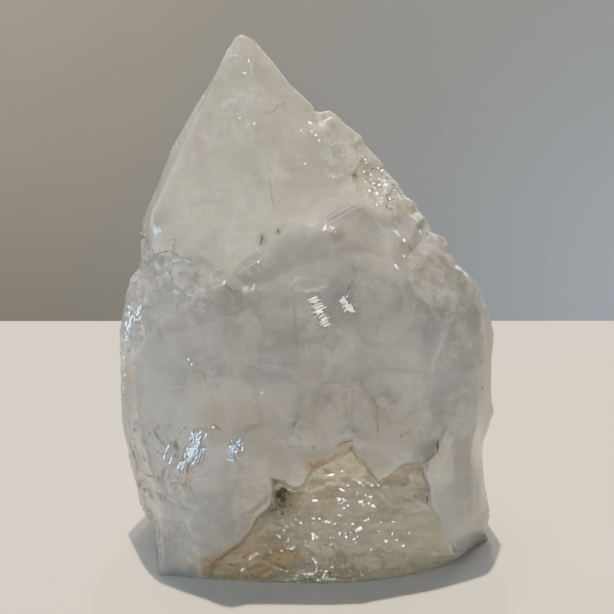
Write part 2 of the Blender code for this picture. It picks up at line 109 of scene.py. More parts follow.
def to_line(spots, line):
    """Distance of each spot from a line of the drawing, and how far along it lies, 0 to 1."""
    line = np.asarray(line, float)
    steps = np.linalg.norm(np.diff(line, axis=0), axis=1)
    start = np.concatenate(([0.0], np.cumsum(steps)))
    best = np.full(len(spots), 1e9)
    along = np.zeros(len(spots))
    for k, (a, b) in enumerate(zip(line, line[1:])):
        ab = b - a
        t = np.clip(((spots - a) @ ab) / max(ab @ ab, 1e-9), 0, 1)
        gap = np.linalg.norm(spots - (a + t[:, None] * ab), axis=1)
        nearer = gap < best
        best = np.where(nearer, gap, best)
        along = np.where(nearer, (start[k] + t * steps[k]) / start[-1], along)
    return best, along


def in_area(spots, area, soft=4.0):
    """1 inside the area of the drawing, 0 outside, soft at its edge."""
    ring = np.asarray(area, float)
    x, y = spots[:, 0], spots[:, 1]
    within = np.zeros(len(spots), bool)
    for (x1, y1), (x2, y2) in zip(ring, np.roll(ring, -1, axis=0)):
        if y1 == y2:
            continue
        crosses = (y1 > y) != (y2 > y)
        within ^= crosses & (x < x1 + (y - y1) * (x2 - x1) / (y2 - y1))
    gap, _ = to_line(spots, np.vstack((ring, ring[:1])))
    return ramp(np.where(within, gap, -gap), -soft, soft)


def spot_mask(spots, across, down, wide, high=None, turn=0.0):
    """1 in the middle of a soft oval of the drawing, 0 outside."""
    high = high or wide
    c, s = math.cos(math.radians(turn)), math.sin(math.radians(turn))
    dx, dy = spots[:, 0] - across, spots[:, 1] - down
    r = np.hypot((dx * c + dy * s) / wide, (-dx * s + dy * c) / high)
    return 1.0 - ramp(r, 0.35, 1.0)


# ---------------------------------------------------------------- noise
def chance(i, j, k, salt):
    h = (
        i.astype(np.int64) * 73856093
        ^ j.astype(np.int64) * 19349663
        ^ k.astype(np.int64) * 83492791
        ^ np.int64(salt * 2654435761 % 4294967296)
    ) & 0xFFFFFFFF
    h = ((h ^ (h >> 15)) * 2246822519) & 0xFFFFFFFF
    h = ((h ^ (h >> 13)) * 3266489917) & 0xFFFFFFFF
    return ((h ^ (h >> 16)) & 0xFFFFFF) / float(0x1000000)


def wander(points, size, salt=0):
    """Smooth noise from -1 to 1 with bumps of about the size in metres."""
    p = points / size
    base = np.floor(p).astype(np.int64)
    f = p - base
    f = f * f * (3 - 2 * f)
    total = np.zeros(len(p))
    for dx in (0, 1):
        for dy in (0, 1):
            for dz in (0, 1):
                w = (
                    (f[:, 0] if dx else 1 - f[:, 0])
                    * (f[:, 1] if dy else 1 - f[:, 1])
                    * (f[:, 2] if dz else 1 - f[:, 2])
                )
                total += w * chance(base[:, 0] + dx, base[:, 1] + dy, base[:, 2] + dz, salt)
    return total * 2 - 1


def layers(points, size, count=4, salt=0, fade=0.5):
    total, weight, most = np.zeros(len(points)), 1.0, 0.0
    for n in range(count):
        total += weight * wander(points, size / 2**n, salt + n * 17)
        most += weight
        weight *= fade
    return total / most


def cells(points, size, salt=0):
    """Nearest seed of a random packing: gap to it, gap to the next, and the way to it."""
    p = points / size
    base = np.floor(p).astype(np.int64)
    first = np.full(len(p), 1e9)
    second = np.full(len(p), 1e9)
    seed = np.zeros((len(p), 3))
    name = np.zeros((len(p), 3), np.int64)
    for dx in (-1, 0, 1):
        for dy in (-1, 0, 1):
            for dz in (-1, 0, 1):
                c = base + (dx, dy, dz)
                spot = c + np.stack([chance(*c.T, salt + s) for s in (1, 2, 3)], axis=1)
                gap = np.linalg.norm(p - spot, axis=1)
                near = gap < first
                second = np.where(near, first, np.minimum(second, gap))
                first = np.where(near, gap, first)
                seed = np.where(near[:, None], spot, seed)
                name = np.where(near[:, None], c, name)
    return first * size, second * size, p * size - seed * size, name


def cell_tilt(name, salt):
    return np.stack([chance(*name.T, salt + s) * 2 - 1 for s in (4, 5, 6)], axis=1)


# ---------------------------------------------------------------- the skin
FINE, MIDDLING, COARSE, HIDDEN = 0.00072, 0.00105, 0.0018, 0.005  # longest edges

ROUGH = [
    # how rough in mm, area of the drawing
    (0.16, [(312, 100), (336, 104), (372, 142), (352, 166), (341, 172), (324, 137)]),
    (0.55, [(352, 160), (376, 150), (410, 190), (424, 214), (400, 220), (366, 204), (350, 184)]),
    (0.20, [
        (398, 214), (420, 204), (440, 226), (476, 270), (488, 300), (484, 318), (446, 308),
        (426, 299), (410, 278), (400, 256), (392, 236),
    ]),
    (0.38, [
        (136, 232), (150, 240), (152, 262), (182, 262), (204, 262), (226, 280),
        (196, 300), (168, 318), (150, 336), (136, 350), (112, 352), (120, 290),
    ]),
    (0.5, [
        (203, 571), (216, 564), (241, 548), (262, 519), (280, 505), (300, 494),
        (314, 472), (352, 456), (366, 474), (380, 486), (398, 474), (420, 470),
        (426, 490), (437, 520), (449, 552), (430, 566), (380, 577), (300, 580),
    ]),
    (0.4, [
        (128, 420), (185, 425), (196, 480), (192, 530), (160, 560), (120, 520),
    ]),
]


# Where the colour and finish change: middle in the drawing, half width and height,
# turn in degrees, and strength
TINTS = {
    "rust": [
        (255, 562, 68, 22, -6, 0.95), (310, 560, 60, 18, 0, 0.5), (228, 557, 24, 9, -35, 0.8),
        (340, 575, 34, 7, 0, 0.6), (345, 444, 8, 3, -12, 0.8), (326, 460, 16, 4, -22, 0.6),
        (312, 466, 8, 6, -45, 0.9), (400, 482, 15, 10, 20, 0.35), (343, 470, 24, 8, 0, 0.35),
        (153, 275, 6, 4, 0, 0.6), (133, 300, 7, 6, 0, 0.4), (355, 178, 5, 8, 0, 0.7),
        (204, 376, 4, 9, 30, 0.7), (216, 410, 9, 26, 0, 0.4), (190, 470, 4, 24, 8, 0.7),
        (158, 500, 24, 8, 25, 0.35), (128, 380, 5, 24, 0, 0.35), (166, 262, 8, 5, 0, 0.45),
        (375, 471, 8, 8, 0, 0.4), (412, 466, 12, 5, 0, 0.5),
    ],
    "lilac": [
        (195, 152, 13, 30, 24, 0.8), (312, 128, 17, 18, 0, 0.2), (228, 248, 26, 26, 0, 0.45),
        (336, 231, 16, 10, -20, 0.8), (314, 374, 13, 8, 0, 0.5), (447, 530, 8, 11, 0, 0.7),
        (435, 252, 12, 9, 30, 0.5), (240, 66, 14, 20, 0, 0.3), (390, 218, 26, 9, 42, 0.35),
    ],
    # painted cool light: the blue of the fill light on the steep body and the block, and the bluish glare and glow
    # round the glints from the lamp on the left
    "painted_cool_light": [
        (268, 372, 19, 22, 0, 0.6), (133, 330, 11, 30, 0, 0.8), (458, 495, 26, 44, 0, 0.5),
        (170, 150, 5, 10, 20, 0.8), (198, 446, 18, 26, 12, 0.8), (382, 232, 22, 5, 42, 0.6),
        (330, 150, 18, 16, 40, 0.5), (400, 430, 60, 50, 0, 0.8), (425, 350, 66, 66, 0, 1.0), (450, 395, 50, 60, 0, 1.0), (458, 500, 30, 56, 0, 1.0), (160, 412, 44, 62, 0, 0.9), (235, 452, 9, 12, 0, 0.6),
    ],
    # partly the white frosting of the stone, partly painted light: the glow round the lamp marks below the middle, the
    # glitter on the left shoulder, a pale highlight band beside the inset and paler facets
    "frost_and_painted_light": [
        (322, 352, 34, 30, 0, 0.42), (312, 328, 18, 22, 0, 0.6), (262, 366, 18, 14, 0, 0.4), (455, 410, 14, 26, 0, 0.5), (350, 515, 70, 30, 0, 0.25), (232, 215, 60, 40, 0, 0.18), (215, 200, 15, 26, 0, 0.35), (212, 140, 12, 12, 0, 0.3), (190, 163, 9, 9, 0, 0.3),
        (205, 300, 17, 17, 0, 0.4), (188, 363, 8, 5, 0, 0.7), (262, 392, 4, 4, 0, 0.6),
        (425, 295, 30, 28, 0, 0.3), (170, 268, 26, 12, 0, 0.5), (200, 278, 26, 15, 0, 0.4),
        (212, 372, 8, 12, 0, 0.4), (258, 262, 22, 7, -38, 0.6), (348, 410, 5, 34, 0, 0.35),
        (466, 512, 10, 20, -20, 0.4), (395, 267, 14, 5, 30, 0.4), (240, 110, 30, 26, 0, 0.25),
        (250, 470, 20, 14, 20, 0.25), (382, 192, 26, 20, 40, 0.7), (336, 126, 14, 20, 35, 0.5),
        (124, 376, 7, 26, 0, 0.6), (430, 262, 34, 20, 45, 0.6), (160, 280, 26, 18, 0, 0.5), (138, 288, 12, 26, 0, 0.9), (152, 252, 12, 14, 0, 0.9), (345, 160, 26, 26, 35, 0.8), (452, 335, 22, 34, 0, 0.5),
        (340, 158, 9, 20, -25, 0.7), (160, 430, 22, 34, 0, 0.3), (236, 452, 9, 13, 0, 0.5),
    ],
    # painted shade, partly smoky tone: a darker grey on the thin right and left edges and on the slope under the upper
    # face, which the lamps light too much, and on some dark marks of the stone
    "smoke_and_painted_shade": [
        (277, 300, 16, 50, 0, 0.4), (489, 365, 11, 84, 0, 0.2), (127, 400, 10, 60, 0, 0.5),
        (262, 240, 7, 8, 0, 0.5), (331, 236, 16, 9, -25, 0.6), (300, 244, 18, 9, -12, 0.4),
        (248, 262, 22, 5, -34, 0.6), (488, 470, 8, 30, 0, 0.3), (140, 442, 12, 30, 8, 0.7),
        (476, 460, 12, 24, 0, 0.6), (372, 420, 5, 30, 0, 0.3), (232, 330, 14, 40, 0, 0.2),
        (284, 500, 13, 15, 15, 0.5),
    ],
    "dense": [
        (352, 335, 100, 56, 0, 0.8), (450, 372, 34, 92, 0, 1.0), (446, 310, 30, 30, 0, 0.6),
    ],
    # painted shade: a dark grey on the thin right and left edges, which the light grazing them shows too light
    "ledge": [
        (491, 400, 12, 96, 0, 0.3), (488, 505, 8, 30, 0, 0.35), (128, 420, 9, 60, 0, 0.3),
    ],
    "shade": [
        (405, 330, 36, 36, 0, 0.14), (365, 420, 30, 30, 0, 0.72), (312, 418, 28, 26, 0, 0.56), (262, 432, 34, 34, 0, 0.80), (340, 458, 66, 16, 0, 0.9), (370, 463, 30, 12, 0, 0.9), (215, 424, 18, 26, 0, 0.75), (280, 462, 22, 22, 0, 0.85),
        (400, 430, 30, 26, 0, 0.62), (196, 450, 13, 22, 10, 0.5), (180, 370, 40, 50, 0, 0.22), (455, 500, 26, 50, 0, 0.2),
        (262, 240, 5, 7, 0, 0.55), (279, 232, 4, 5, 0, 0.5), (337, 232, 14, 8, -25, 0.9),
        (335, 418, 96, 50, 0, 0.46), (362, 412, 24, 40, 0, 0.35), (491, 400, 12, 92, 0, 0.2), (129, 392, 8, 40, 0, 0.8), (408, 256, 24, 16, 40, 0.85), (312, 284, 22, 9, -10, 0.25),
        (152, 420, 34, 90, 0, 0.28), (240, 500, 50, 50, 0, 0.3),
        (345, 238, 6, 12, 0, 0.35), (250, 258, 20, 3, -38, 0.5),
    ],
    "matte": [
        (325, 268, 20, 9, 0, 0.2), (400, 262, 20, 20, 45, 0.5), (310, 283, 18, 8, -8, 0.8),
        (491, 405, 12, 104, 0, 1.0), (127, 400, 8, 60, 0, 0.8),
    ],
    "striated": [(452, 402, 44, 34, 0, 1.0), (400, 400, 30, 26, 0, 0.4)],
}
SEAMS = [
    # stained lines: places in the drawing, half width, strength of rust and of dirt
    ([(272, 486), (267, 503), (258, 518), (240, 543), (216, 559), (203, 555)], 3.0, 0.25, 0.16),
    ([(271, 478), (284, 484), (297, 489), (305, 482), (312, 468), (323, 461), (338, 456), (352, 446)], 3.0, 0.35, 0.2),
    ([(356, 455), (368, 467), (379, 481), (390, 477), (401, 466), (417, 463)], 2.6, 0.3, 0.2),
    ([(425, 462), (425, 474), (431, 487), (432, 505), (441, 515), (444, 528), (456, 553)], 2.2, 0.15, 0.15),
]
AREAS = {
    "upper": [
        (238, 28), (252, 34), (318, 98), (326, 137), (343, 172), (361, 203), (347, 211),
        (333, 217), (321, 222), (318, 229), (303, 228), (287, 235), (272, 245), (253, 255),
        (241, 269), (233, 276), (219, 269), (201, 256), (181, 258), (158, 255), (150, 240),
        (140, 222), (166, 150), (206, 84),
    ],
    "foot": [
        (198, 584), (203, 562), (216, 562), (241, 546), (259, 519), (273, 507), (276, 484),
        (298, 491), (312, 471), (337, 458), (352, 450), (366, 467), (379, 482), (396, 472),
        (418, 468), (427, 487), (429, 505), (440, 528), (452, 556), (440, 572), (380, 588),
        (300, 592),
    ],
    "shoulder": [
        (308, 98), (336, 102), (372, 142), (410, 190), (424, 214), (400, 216), (380, 214),
        (361, 205), (341, 172), (324, 137),
    ],
    "slope": [
        (228, 274), (245, 260), (256, 248), (267, 239), (283, 229), (299, 220), (310, 217),
        (314, 209), (328, 203), (342, 197), (360, 191), (380, 212), (396, 240), (408, 264),
        (404, 296), (384, 322), (352, 334), (316, 336), (286, 334), (262, 330), (240, 310),
    ],
    "steps": [(316, 224), (330, 206), (362, 190), (372, 206), (352, 216), (330, 230)],
}


# edges rubbed round
WORN = [
    [(460, 300), (505, 280), (505, 545), (476, 545), (470, 450), (460, 430)],
    [(105, 345), (146, 345), (150, 440), (105, 440)],
    [(408, 438), (434, 438), (436, 462), (412, 466)],
]
PLATES = [
    # height in mm, lean in mm per 100 of the drawing across and down, and where
    (-0.20, (1.6, 0.0), [(357, 376), (377, 405), (377.5, 440), (362, 442), (352.6, 428), (352.6, 381)]),
    (-0.12, (-1.8, 0.4), [(303, 394), (326, 384), (352, 381), (352.6, 428), (330, 448), (287, 446)]),
    (0.0, (-0.6, 0.1), [(250, 296), (292, 286), (296, 337), (300, 361), (262, 372), (236, 330)]),
    (0.0, (0.8, 0.3), [(350, 290), (372, 276), (420, 290), (446, 330), (430, 372), (372, 366), (352, 330)]),
    (0.0, (0.35, -0.2), [(416, 400), (441, 374), (478, 366), (480, 412), (441, 430)]),
    (-0.05, (-1.4, -0.8), [(208, 385), (252, 380), (262, 424), (226, 436), (208, 420)]),
    (0.0, (0.6, 1.4), [(160, 330), (214, 318), (232, 352), (206, 372), (158, 366)]),
]

ZONES = {
    # flat tracts with a crisp border: places in the drawing, strength
    # painted shade: the worn slope under the upper face faces the lamp above, and is painted dark grey so that it
    # looks as dim as the body below
    "ledge": [
        ([
            (234, 277), (250, 266), (262, 255), (272, 247), (287, 237), (303, 230), (318, 231),
            (321, 224), (334, 219), (348, 212), (361, 206), (374, 222), (386, 240), (376, 248),
            (352, 252), (330, 255), (316, 260), (300, 264), (284, 272), (266, 282), (248, 284),
        ], 0.72),
    ],
    # painted shade, partly smoky tone: front facets painted darker, as if turned from the light
    "smoke_and_painted_shade": [
        ([(262, 262), (292, 286), (296, 337), (288, 352), (258, 352), (250, 300)], 0.40),
        ([(292, 362), (326, 366), (326, 384), (300, 384)], 0.30),
        ([(465, 440), (488, 440), (488, 480), (465, 480)], 0.40),
        ([(377, 405), (386, 400), (392, 430), (380, 446)], 0.30),
        ([(350, 250), (355, 275), (348, 291), (330, 282), (328, 256)], 0.25),
        ([(208, 385), (225, 388), (222, 430), (210, 430)], 0.30),
    ],
    # painted light, partly frosting: paler facets and a pale highlight band beside the inset
    "frost_and_painted_light": [
        ([(344, 380), (352, 380), (352.6, 430), (345, 440)], 0.55),
        ([(357, 376), (377, 405), (377.5, 440), (362, 442), (352.6, 428), (352.6, 381)], 0.22),
        ([(440, 374), (494, 360), (494, 409), (441, 430), (416, 400)], 0.20),
        ([(218, 70), (204, 102), (192, 126), (178, 151), (160, 160), (190, 105), (212, 66)], 0.30),
        ([(303, 394), (287, 446), (312, 448), (330, 400)], 0.15),
    ],
}


def refined(solid):
    """The solid's mesh with every edge cut down to about a millimetre."""
    mesh = bmesh.new()
    mesh.from_mesh(solid.data)
    bmesh.ops.remove_doubles(mesh, verts=mesh.verts, dist=1e-6)
    bmesh.ops.triangulate(mesh, faces=mesh.faces)
    sharp = mesh.edges.layers.float.new("crease_edge")
    for edge in mesh.edges:
        if len(edge.link_faces) == 2:
            edge[sharp] = max(0.0, edge.calc_face_angle(0.0))
    for _ in range(7):
        mesh.normal_update()
        mesh.verts.index_update()
        co = np.array([v.co for v in mesh.verts])
        n = np.array([v.normal for v in mesh.verts])
        look = EYE - co
        towards = (n * look).sum(1) / np.linalg.norm(look, axis=1)
        spots = drawn(co)
        limit = np.where(towards > 0.1, MIDDLING, COARSE)
        for area in [ring for _, ring in ROUGH] + [AREAS["steps"]]:
            near = (in_area(spots, area, 6.0) > 0.05) & (towards > 0.05)
            limit = np.where(near, FINE, limit)
        limit = np.where(co[:, 2] < 1e-5, HIDDEN, limit)
        ends = np.array([(e.verts[0].index, e.verts[1].index) for e in mesh.edges])
        most = np.where(
            (co[ends[:, 0], 2] < 1e-5) & (co[ends[:, 1], 2] < 1e-5),
            HIDDEN,
            np.minimum(limit[ends[:, 0]], limit[ends[:, 1]]),
        )
        reach = np.linalg.norm(co[ends[:, 0]] - co[ends[:, 1]], axis=1)
        mesh.edges.ensure_lookup_table()
        long = [mesh.edges[k] for k in np.flatnonzero(reach > most)]
        if not long:
            break
        bmesh.ops.subdivide_edges(mesh, edges=long, cuts=1)
        bmesh.ops.triangulate(
            mesh, faces=[f for f in mesh.faces if len(f.verts) > 3], quad_method="SHORT_EDGE"
        )
    # a flap is two faces back to back on the same corners: both go
    met, flaps = {}, []
    for face in mesh.faces:
        other = met.pop(frozenset(face.verts), None)
        if other is None:
            met[frozenset(face.verts)] = face
        else:
            flaps += [face, other]
    bmesh.ops.delete(mesh, geom=flaps, context="FACES_ONLY")
    bmesh.ops.delete(mesh, geom=[e for e in mesh.edges if not e.link_faces], context="EDGES")
    bmesh.ops.delete(mesh, geom=[v for v in mesh.verts if not v.link_faces], context="VERTS")
    return mesh


def mesh_arrays(mesh):
    mesh.verts.index_update()
    co = np.array([v.co for v in mesh.verts])
    ends = np.array([(e.verts[0].index, e.verts[1].index) for e in mesh.edges])
    return co, ends


def smoothed(co, ends, hold, turns, step=0.5):
    """Each point drawn towards its neighbours; hold is 1 where it stays."""
    count = np.bincount(ends.ravel(), minlength=len(co)).clip(1)[:, None]
    free = (step * (1 - hold))[:, None]
    for _ in range(turns):
        total = np.zeros_like(co)
        for axis in range(3):
            total[:, axis] = np.bincount(
                ends[:, 0], co[ends[:, 1], axis], len(co)
            ) + np.bincount(ends[:, 1], co[ends[:, 0], axis], len(co))
        co = co + free * (total / count - co)
    return co


def normals_of(co, tris):
    a, b, c = co[tris[:, 0]], co[tris[:, 1]], co[tris[:, 2]]
    n = np.cross(b - a, c - a)
    out = np.zeros_like(co)
    for corner in range(3):
        for axis in range(3):
            out[:, axis] += np.bincount(tris[:, corner], n[:, axis], len(co))
    return out / np.linalg.norm(out, axis=1).clip(1e-12)[:, None]


def make_skin():
    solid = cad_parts["quartz_point"]
    mesh = refined(solid)
    sharp = mesh.edges.layers.float["crease_edge"]
    co, ends = mesh_arrays(mesh)
    tris = np.array([[v.index for v in f.verts] for f in mesh.faces])
    bend = np.array([e[sharp] for e in mesh.edges])
    keen = np.zeros(len(co))
    np.maximum.at(keen, ends[:, 0], bend)
    np.maximum.at(keen, ends[:, 1], bend)
    n = normals_of(co, tris)
    look = EYE - co
    look /= np.linalg.norm(look, axis=1)[:, None]
    towards = (n * look).sum(1)
    spots = drawn(co)
    base = np.abs(co[:, 2]) < 1e-6
    front = ramp(towards, 0.02, 0.12)
    side = 1 - ramp(np.abs(towards), 0.25, 0.5)
    rough = np.zeros(len(co))
    for size, area in ROUGH:
        rough = np.maximum(rough, size * in_area(spots, area, 5.0) * front)
    edge_hold = ramp(np.degrees(keen), 7, 14)
    hold = np.clip(edge_hold, 0, 1)
    worn = np.zeros(len(co))
    for area in WORN:
        worn = np.maximum(worn, in_area(spots, area, 8.0) * ramp(towards, -0.3, -0.05))
    hold *= 1 - 0.95 * worn
    hold = np.maximum(hold, base)
    # long pull of the flanks, where the drawing's points are far apart
    co = smoothed(co, ends, np.maximum(hold, 1 - side), 80)
    co = smoothed(co, ends, hold, 12)
    co = smoothed(co, ends, np.maximum(1 - worn, base), 24)
    co = smoothed(co, ends, base, 1, 0.35)
    # the worn slope under the upper face
    settle = in_area(spots, AREAS["slope"], 7.0) * front
    co = smoothed(co, ends, 1 - settle, 320, 0.8)
    n = normals_of(co, tris)

    # broken ground: shells of several sizes, and grain
    lift = np.zeros(len(co))
    f1, f2, way, name = cells(co + 0.0006 * np.stack([wander(co, 0.003, s) for s in (31, 32, 33)], 1), 0.0052, 3)
    tilt = cell_tilt(name, 8)
    shell = (way * tilt).sum(1) / 0.0052 * 1.5 + (f1 / 0.0052) ** 2 * 0.7 - 0.3
    g1, g2, way2, name2 = cells(co, 0.0021, 5)
    tilt2 = cell_tilt(name2, 9)
    shell2 = (way2 * tilt2).sum(1) / 0.0021 * 1.3 + (g1 / 0.0021) ** 2 * 0.5 - 0.2
    lift += rough * (shell * 0.8 + shell2 * 0.4 + layers(co, 0.0012, 2, 40) * 0.15)

    # the foot's long ripples, which run across it
    foot = in_area(spots, AREAS["foot"], 4.0) * front
    bent = co + 0.0012 * np.stack([wander(co, 0.007, s) for s in (81, 82, 83)], 1)
    h1, _, way3, name3 = cells(bent * (0.42, 0.8, 1.0), 0.0030, 13)
    tilt3 = cell_tilt(name3, 14)
    ripple = (way3 * tilt3).sum(1) / 0.0030 * 1.1 + (h1 / 0.0030) ** 2 * 0.8 - 0.3
    lift = lift * (1 - 0.6 * foot) + 0.27 * ripple * foot
    # healed growth steps beside the shoulder
    band = in_area(spots, AREAS["steps"], 2.0) * front
    across = (spots[:, 0] * 0.49 + spots[:, 1] * 0.87) + 0.8 * wander(co, 0.004, 90)
    lift += band * 0.10 * ((across / 3.4) % 1.0 - 0.5)
    # flutes of the old break low on the left
    flute = spot_mask(spots, 186, 462, 34, 46, 14) * front
    run = spots[:, 0] + 0.25 * (spots[:, 1] - 460) + 5 * wander(co, 0.006, 95)
    lift += flute * 0.22 * (np.abs((run / 7.0) % 1.0 - 0.5) * 2 - 0.5)

    # nicks along the edges, and terraces of growth on the flat faces out of sight
    e1, _, way4, name4 = cells(co, 0.0060, 21)
    nick = ramp(chance(*name4.T, 27), 0.52, 0.60) * (1 - ramp(e1 / 0.0060, 0.25, 0.55))
    lift -= 0.62 * nick * edge_hold * (1 - 0.75 * front) * (1 - base)
    d1, _, way5, name5 = cells(co * (1.0, 1.0, 0.8), 0.0115, 41)
    step = (way5 * cell_tilt(name5, 42)).sum(1) / 0.0115
    lift += 0.55 * step * (1 - front) * (1 - edge_hold) * ramp(layers(co, 0.03, 2, 44), -0.1, 0.3)

    # slow unevenness everywhere, and terraces
    lift += 0.12 * layers(co, 0.012, 3, 60) * (1 - 0.5 * edge_hold)
    rings = layers(co * (1, 1, 0.5), 0.016, 2, 70) * 7
    lift += 0.05 * (np.abs((rings % 1) - 0.5) * 2 - 0.5) * (1 - ramp(rough, 0, 0.3))
    # low plates of growth on the front, each leaning its own way
    for depth, slope, area in PLATES:
        middle = np.mean(area, axis=0)
        lean = ((spots - middle) @ slope) / 100.0
        lift += in_area(spots, area, 3.0) * front * (depth + lean)
    lift *= 1 - 0.85 * settle
    lift = np.where(base, 0.0, lift)
    lift *= ramp(co[:, 2], 0.0, 0.0015)
    co = co + n * (lift * MM)[:, None]
    co[:, 2] = np.where(base, 0.0, np.maximum(co[:, 2], 0.00005))

    for v, p in zip(mesh.verts, co):
        v.co = p
    data = bpy.data.meshes.new("quartz_skin")
    mesh.to_mesh(data)
    mesh.free()
    piece = bpy.data.objects.new("quartz_skin", data)
    SCENE.collection.objects.link(piece)
    data.polygons.foreach_set("use_smooth", [True] * len(data.polygons))
    data.set_sharp_from_angle(angle=math.radians(38))
    return piece, co, n, spots, front, rough, edge_hold, towards


skin, CO, NORMAL, SPOTS, FRONT, ROUGHNESS, EDGY, TOWARDS = make_skin()
SEEN = ramp(TOWARDS, -0.12, 0.02)
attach(skin, "root")
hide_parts("quartz_point")


def attribute(piece, name, values):
    layer = piece.data.attributes.new(name, "FLOAT", "POINT")
    layer.data.foreach_set("value", np.asarray(values, np.float32))


attribute(skin, "broken", np.clip(ROUGHNESS / 0.6, 0, 1))
for kind, area in AREAS.items():
    attribute(skin, kind, in_area(SPOTS, area, 3.0) * SEEN)
rust_line, dirt_line = np.zeros(len(CO)), np.zeros(len(CO))
for line, half, rust, dirt in SEAMS:
    gap, _ = to_line(SPOTS, line)
    near = 1 - ramp(gap, half * 0.3, half * 2.2)
    rust_line = np.maximum(rust_line, rust * near)
    dirt_line = np.maximum(dirt_line, dirt * (1 - ramp(gap, 0.0, half)))
for kind, spots in TINTS.items():
    total = np.zeros(len(CO))
    for across, down, wide, tall, turn, strength in spots:
        total = np.maximum(
            total, strength * spot_mask(SPOTS, across, down, wide * 1.25, tall * 1.25, turn)
        )
    for area, strength in ZONES.get(kind, ()):
        total = np.maximum(total, strength * in_area(SPOTS, area, 4.0 if kind == "ledge" else 1.2))
    if kind == "rust":
        total = np.maximum(total, rust_line)
    attribute(skin, kind, total * SEEN)
attribute(skin, "dirt", dirt_line * SEEN)
# painted light: the side turned from the front gets a paler tone, as less light reaches it
attribute(skin, "back", 1 - ramp(TOWARDS, -0.45, -0.10))


class Nodes:
    """Short hand for building a node tree."""

    def __init__(self, name):
        self.material = bpy.data.materials.new(name)
        self.material.use_nodes = True
        self.tree = self.material.node_tree
        self.shader = self.tree.nodes["Principled BSDF"]
        self.end = self.tree.nodes["Material Output"]
        self.place = self.add("ShaderNodeNewGeometry").outputs["Position"]

    def add(self, kind, **settings):
        node = self.tree.nodes.new(kind)
        for key, value in settings.items():
            setattr(node, key, value)
        return node

    def put(self, socket, value):
        if isinstance(value, bpy.types.NodeSocket):
            self.tree.links.new(value, socket)
        else:
            socket.default_value = value

    def math(self, what, a, b=None, c=None, clamp=False):
        node = self.add("ShaderNodeMath", operation=what, use_clamp=clamp)
        for socket, value in zip(node.inputs, (a, b, c)):
            if value is not None:
                self.put(socket, value)
        return node.outputs[0]

    def noise(self, scale, detail=3.0, rough=0.55, stretch=None, distort=0.0, where=None):
        node = self.add("ShaderNodeTexNoise")
        node.inputs["Scale"].default_value = scale
        node.inputs["Detail"].default_value = detail
        node.inputs["Roughness"].default_value = rough
        node.inputs["Distortion"].default_value = distort
        self.put(node.inputs["Vector"], self.stretched(stretch, where))
        return node.outputs["Fac"]

    def cells(self, scale, feature="F1", stretch=None, out="Distance", where=None, randomness=1.0):
        node = self.add("ShaderNodeTexVoronoi", feature=feature)
        node.inputs["Scale"].default_value = scale
        node.inputs["Randomness"].default_value = randomness
        self.put(node.inputs["Vector"], self.stretched(stretch, where))
        return node.outputs[out]

    def stretched(self, stretch, where=None):
        where = where or self.place
        if stretch is None:
            return where
        node = self.add("ShaderNodeMapping")
        if isinstance(stretch[0], (tuple, list)):
            node.inputs["Rotation"].default_value = [math.radians(a) for a in stretch[1]]
            stretch = stretch[0]
        node.inputs["Scale"].default_value = stretch
        self.put(node.inputs["Vector"], where)
        return node.outputs[0]

    def ramp(self, value, low, high, to_low=0.0, to_high=1.0, smooth=True):
        node = self.add(
            "ShaderNodeMapRange", interpolation_type="SMOOTHSTEP" if smooth else "LINEAR"
        )
        self.put(node.inputs["Value"], value)
        for key, number in (
            ("From Min", low), ("From Max", high), ("To Min", to_low), ("To Max", to_high)
        ):
            self.put(node.inputs[key], number)
        return node.outputs["Result"]

    def mix(self, share, a, b, how="MIX"):
        node = self.add("ShaderNodeMix", data_type="RGBA", blend_type=how, clamp_factor=True)
        self.put(node.inputs[0], share)
        for socket, value in ((node.inputs[6], a), (node.inputs[7], b)):
            if isinstance(value, tuple):
                value = (*value, 1.0)[:4]
            self.put(socket, value)
        return node.outputs[2]

    def mask(self, name):
        return self.add("ShaderNodeAttribute", attribute_name=name).outputs["Fac"]

    def bump(self, height, distance, strength=1.0, before=None):
        node = self.add("ShaderNodeBump")
        node.inputs["Strength"].default_value = strength
        node.inputs["Distance"].default_value = distance
        self.put(node.inputs["Height"], height)
        if before is not None:
            self.put(node.inputs["Normal"], before)
        return node.outputs[0]

    def set(self, **values):
        for key, value in values.items():
            self.put(self.shader.inputs[key.replace("_", " ")], value)


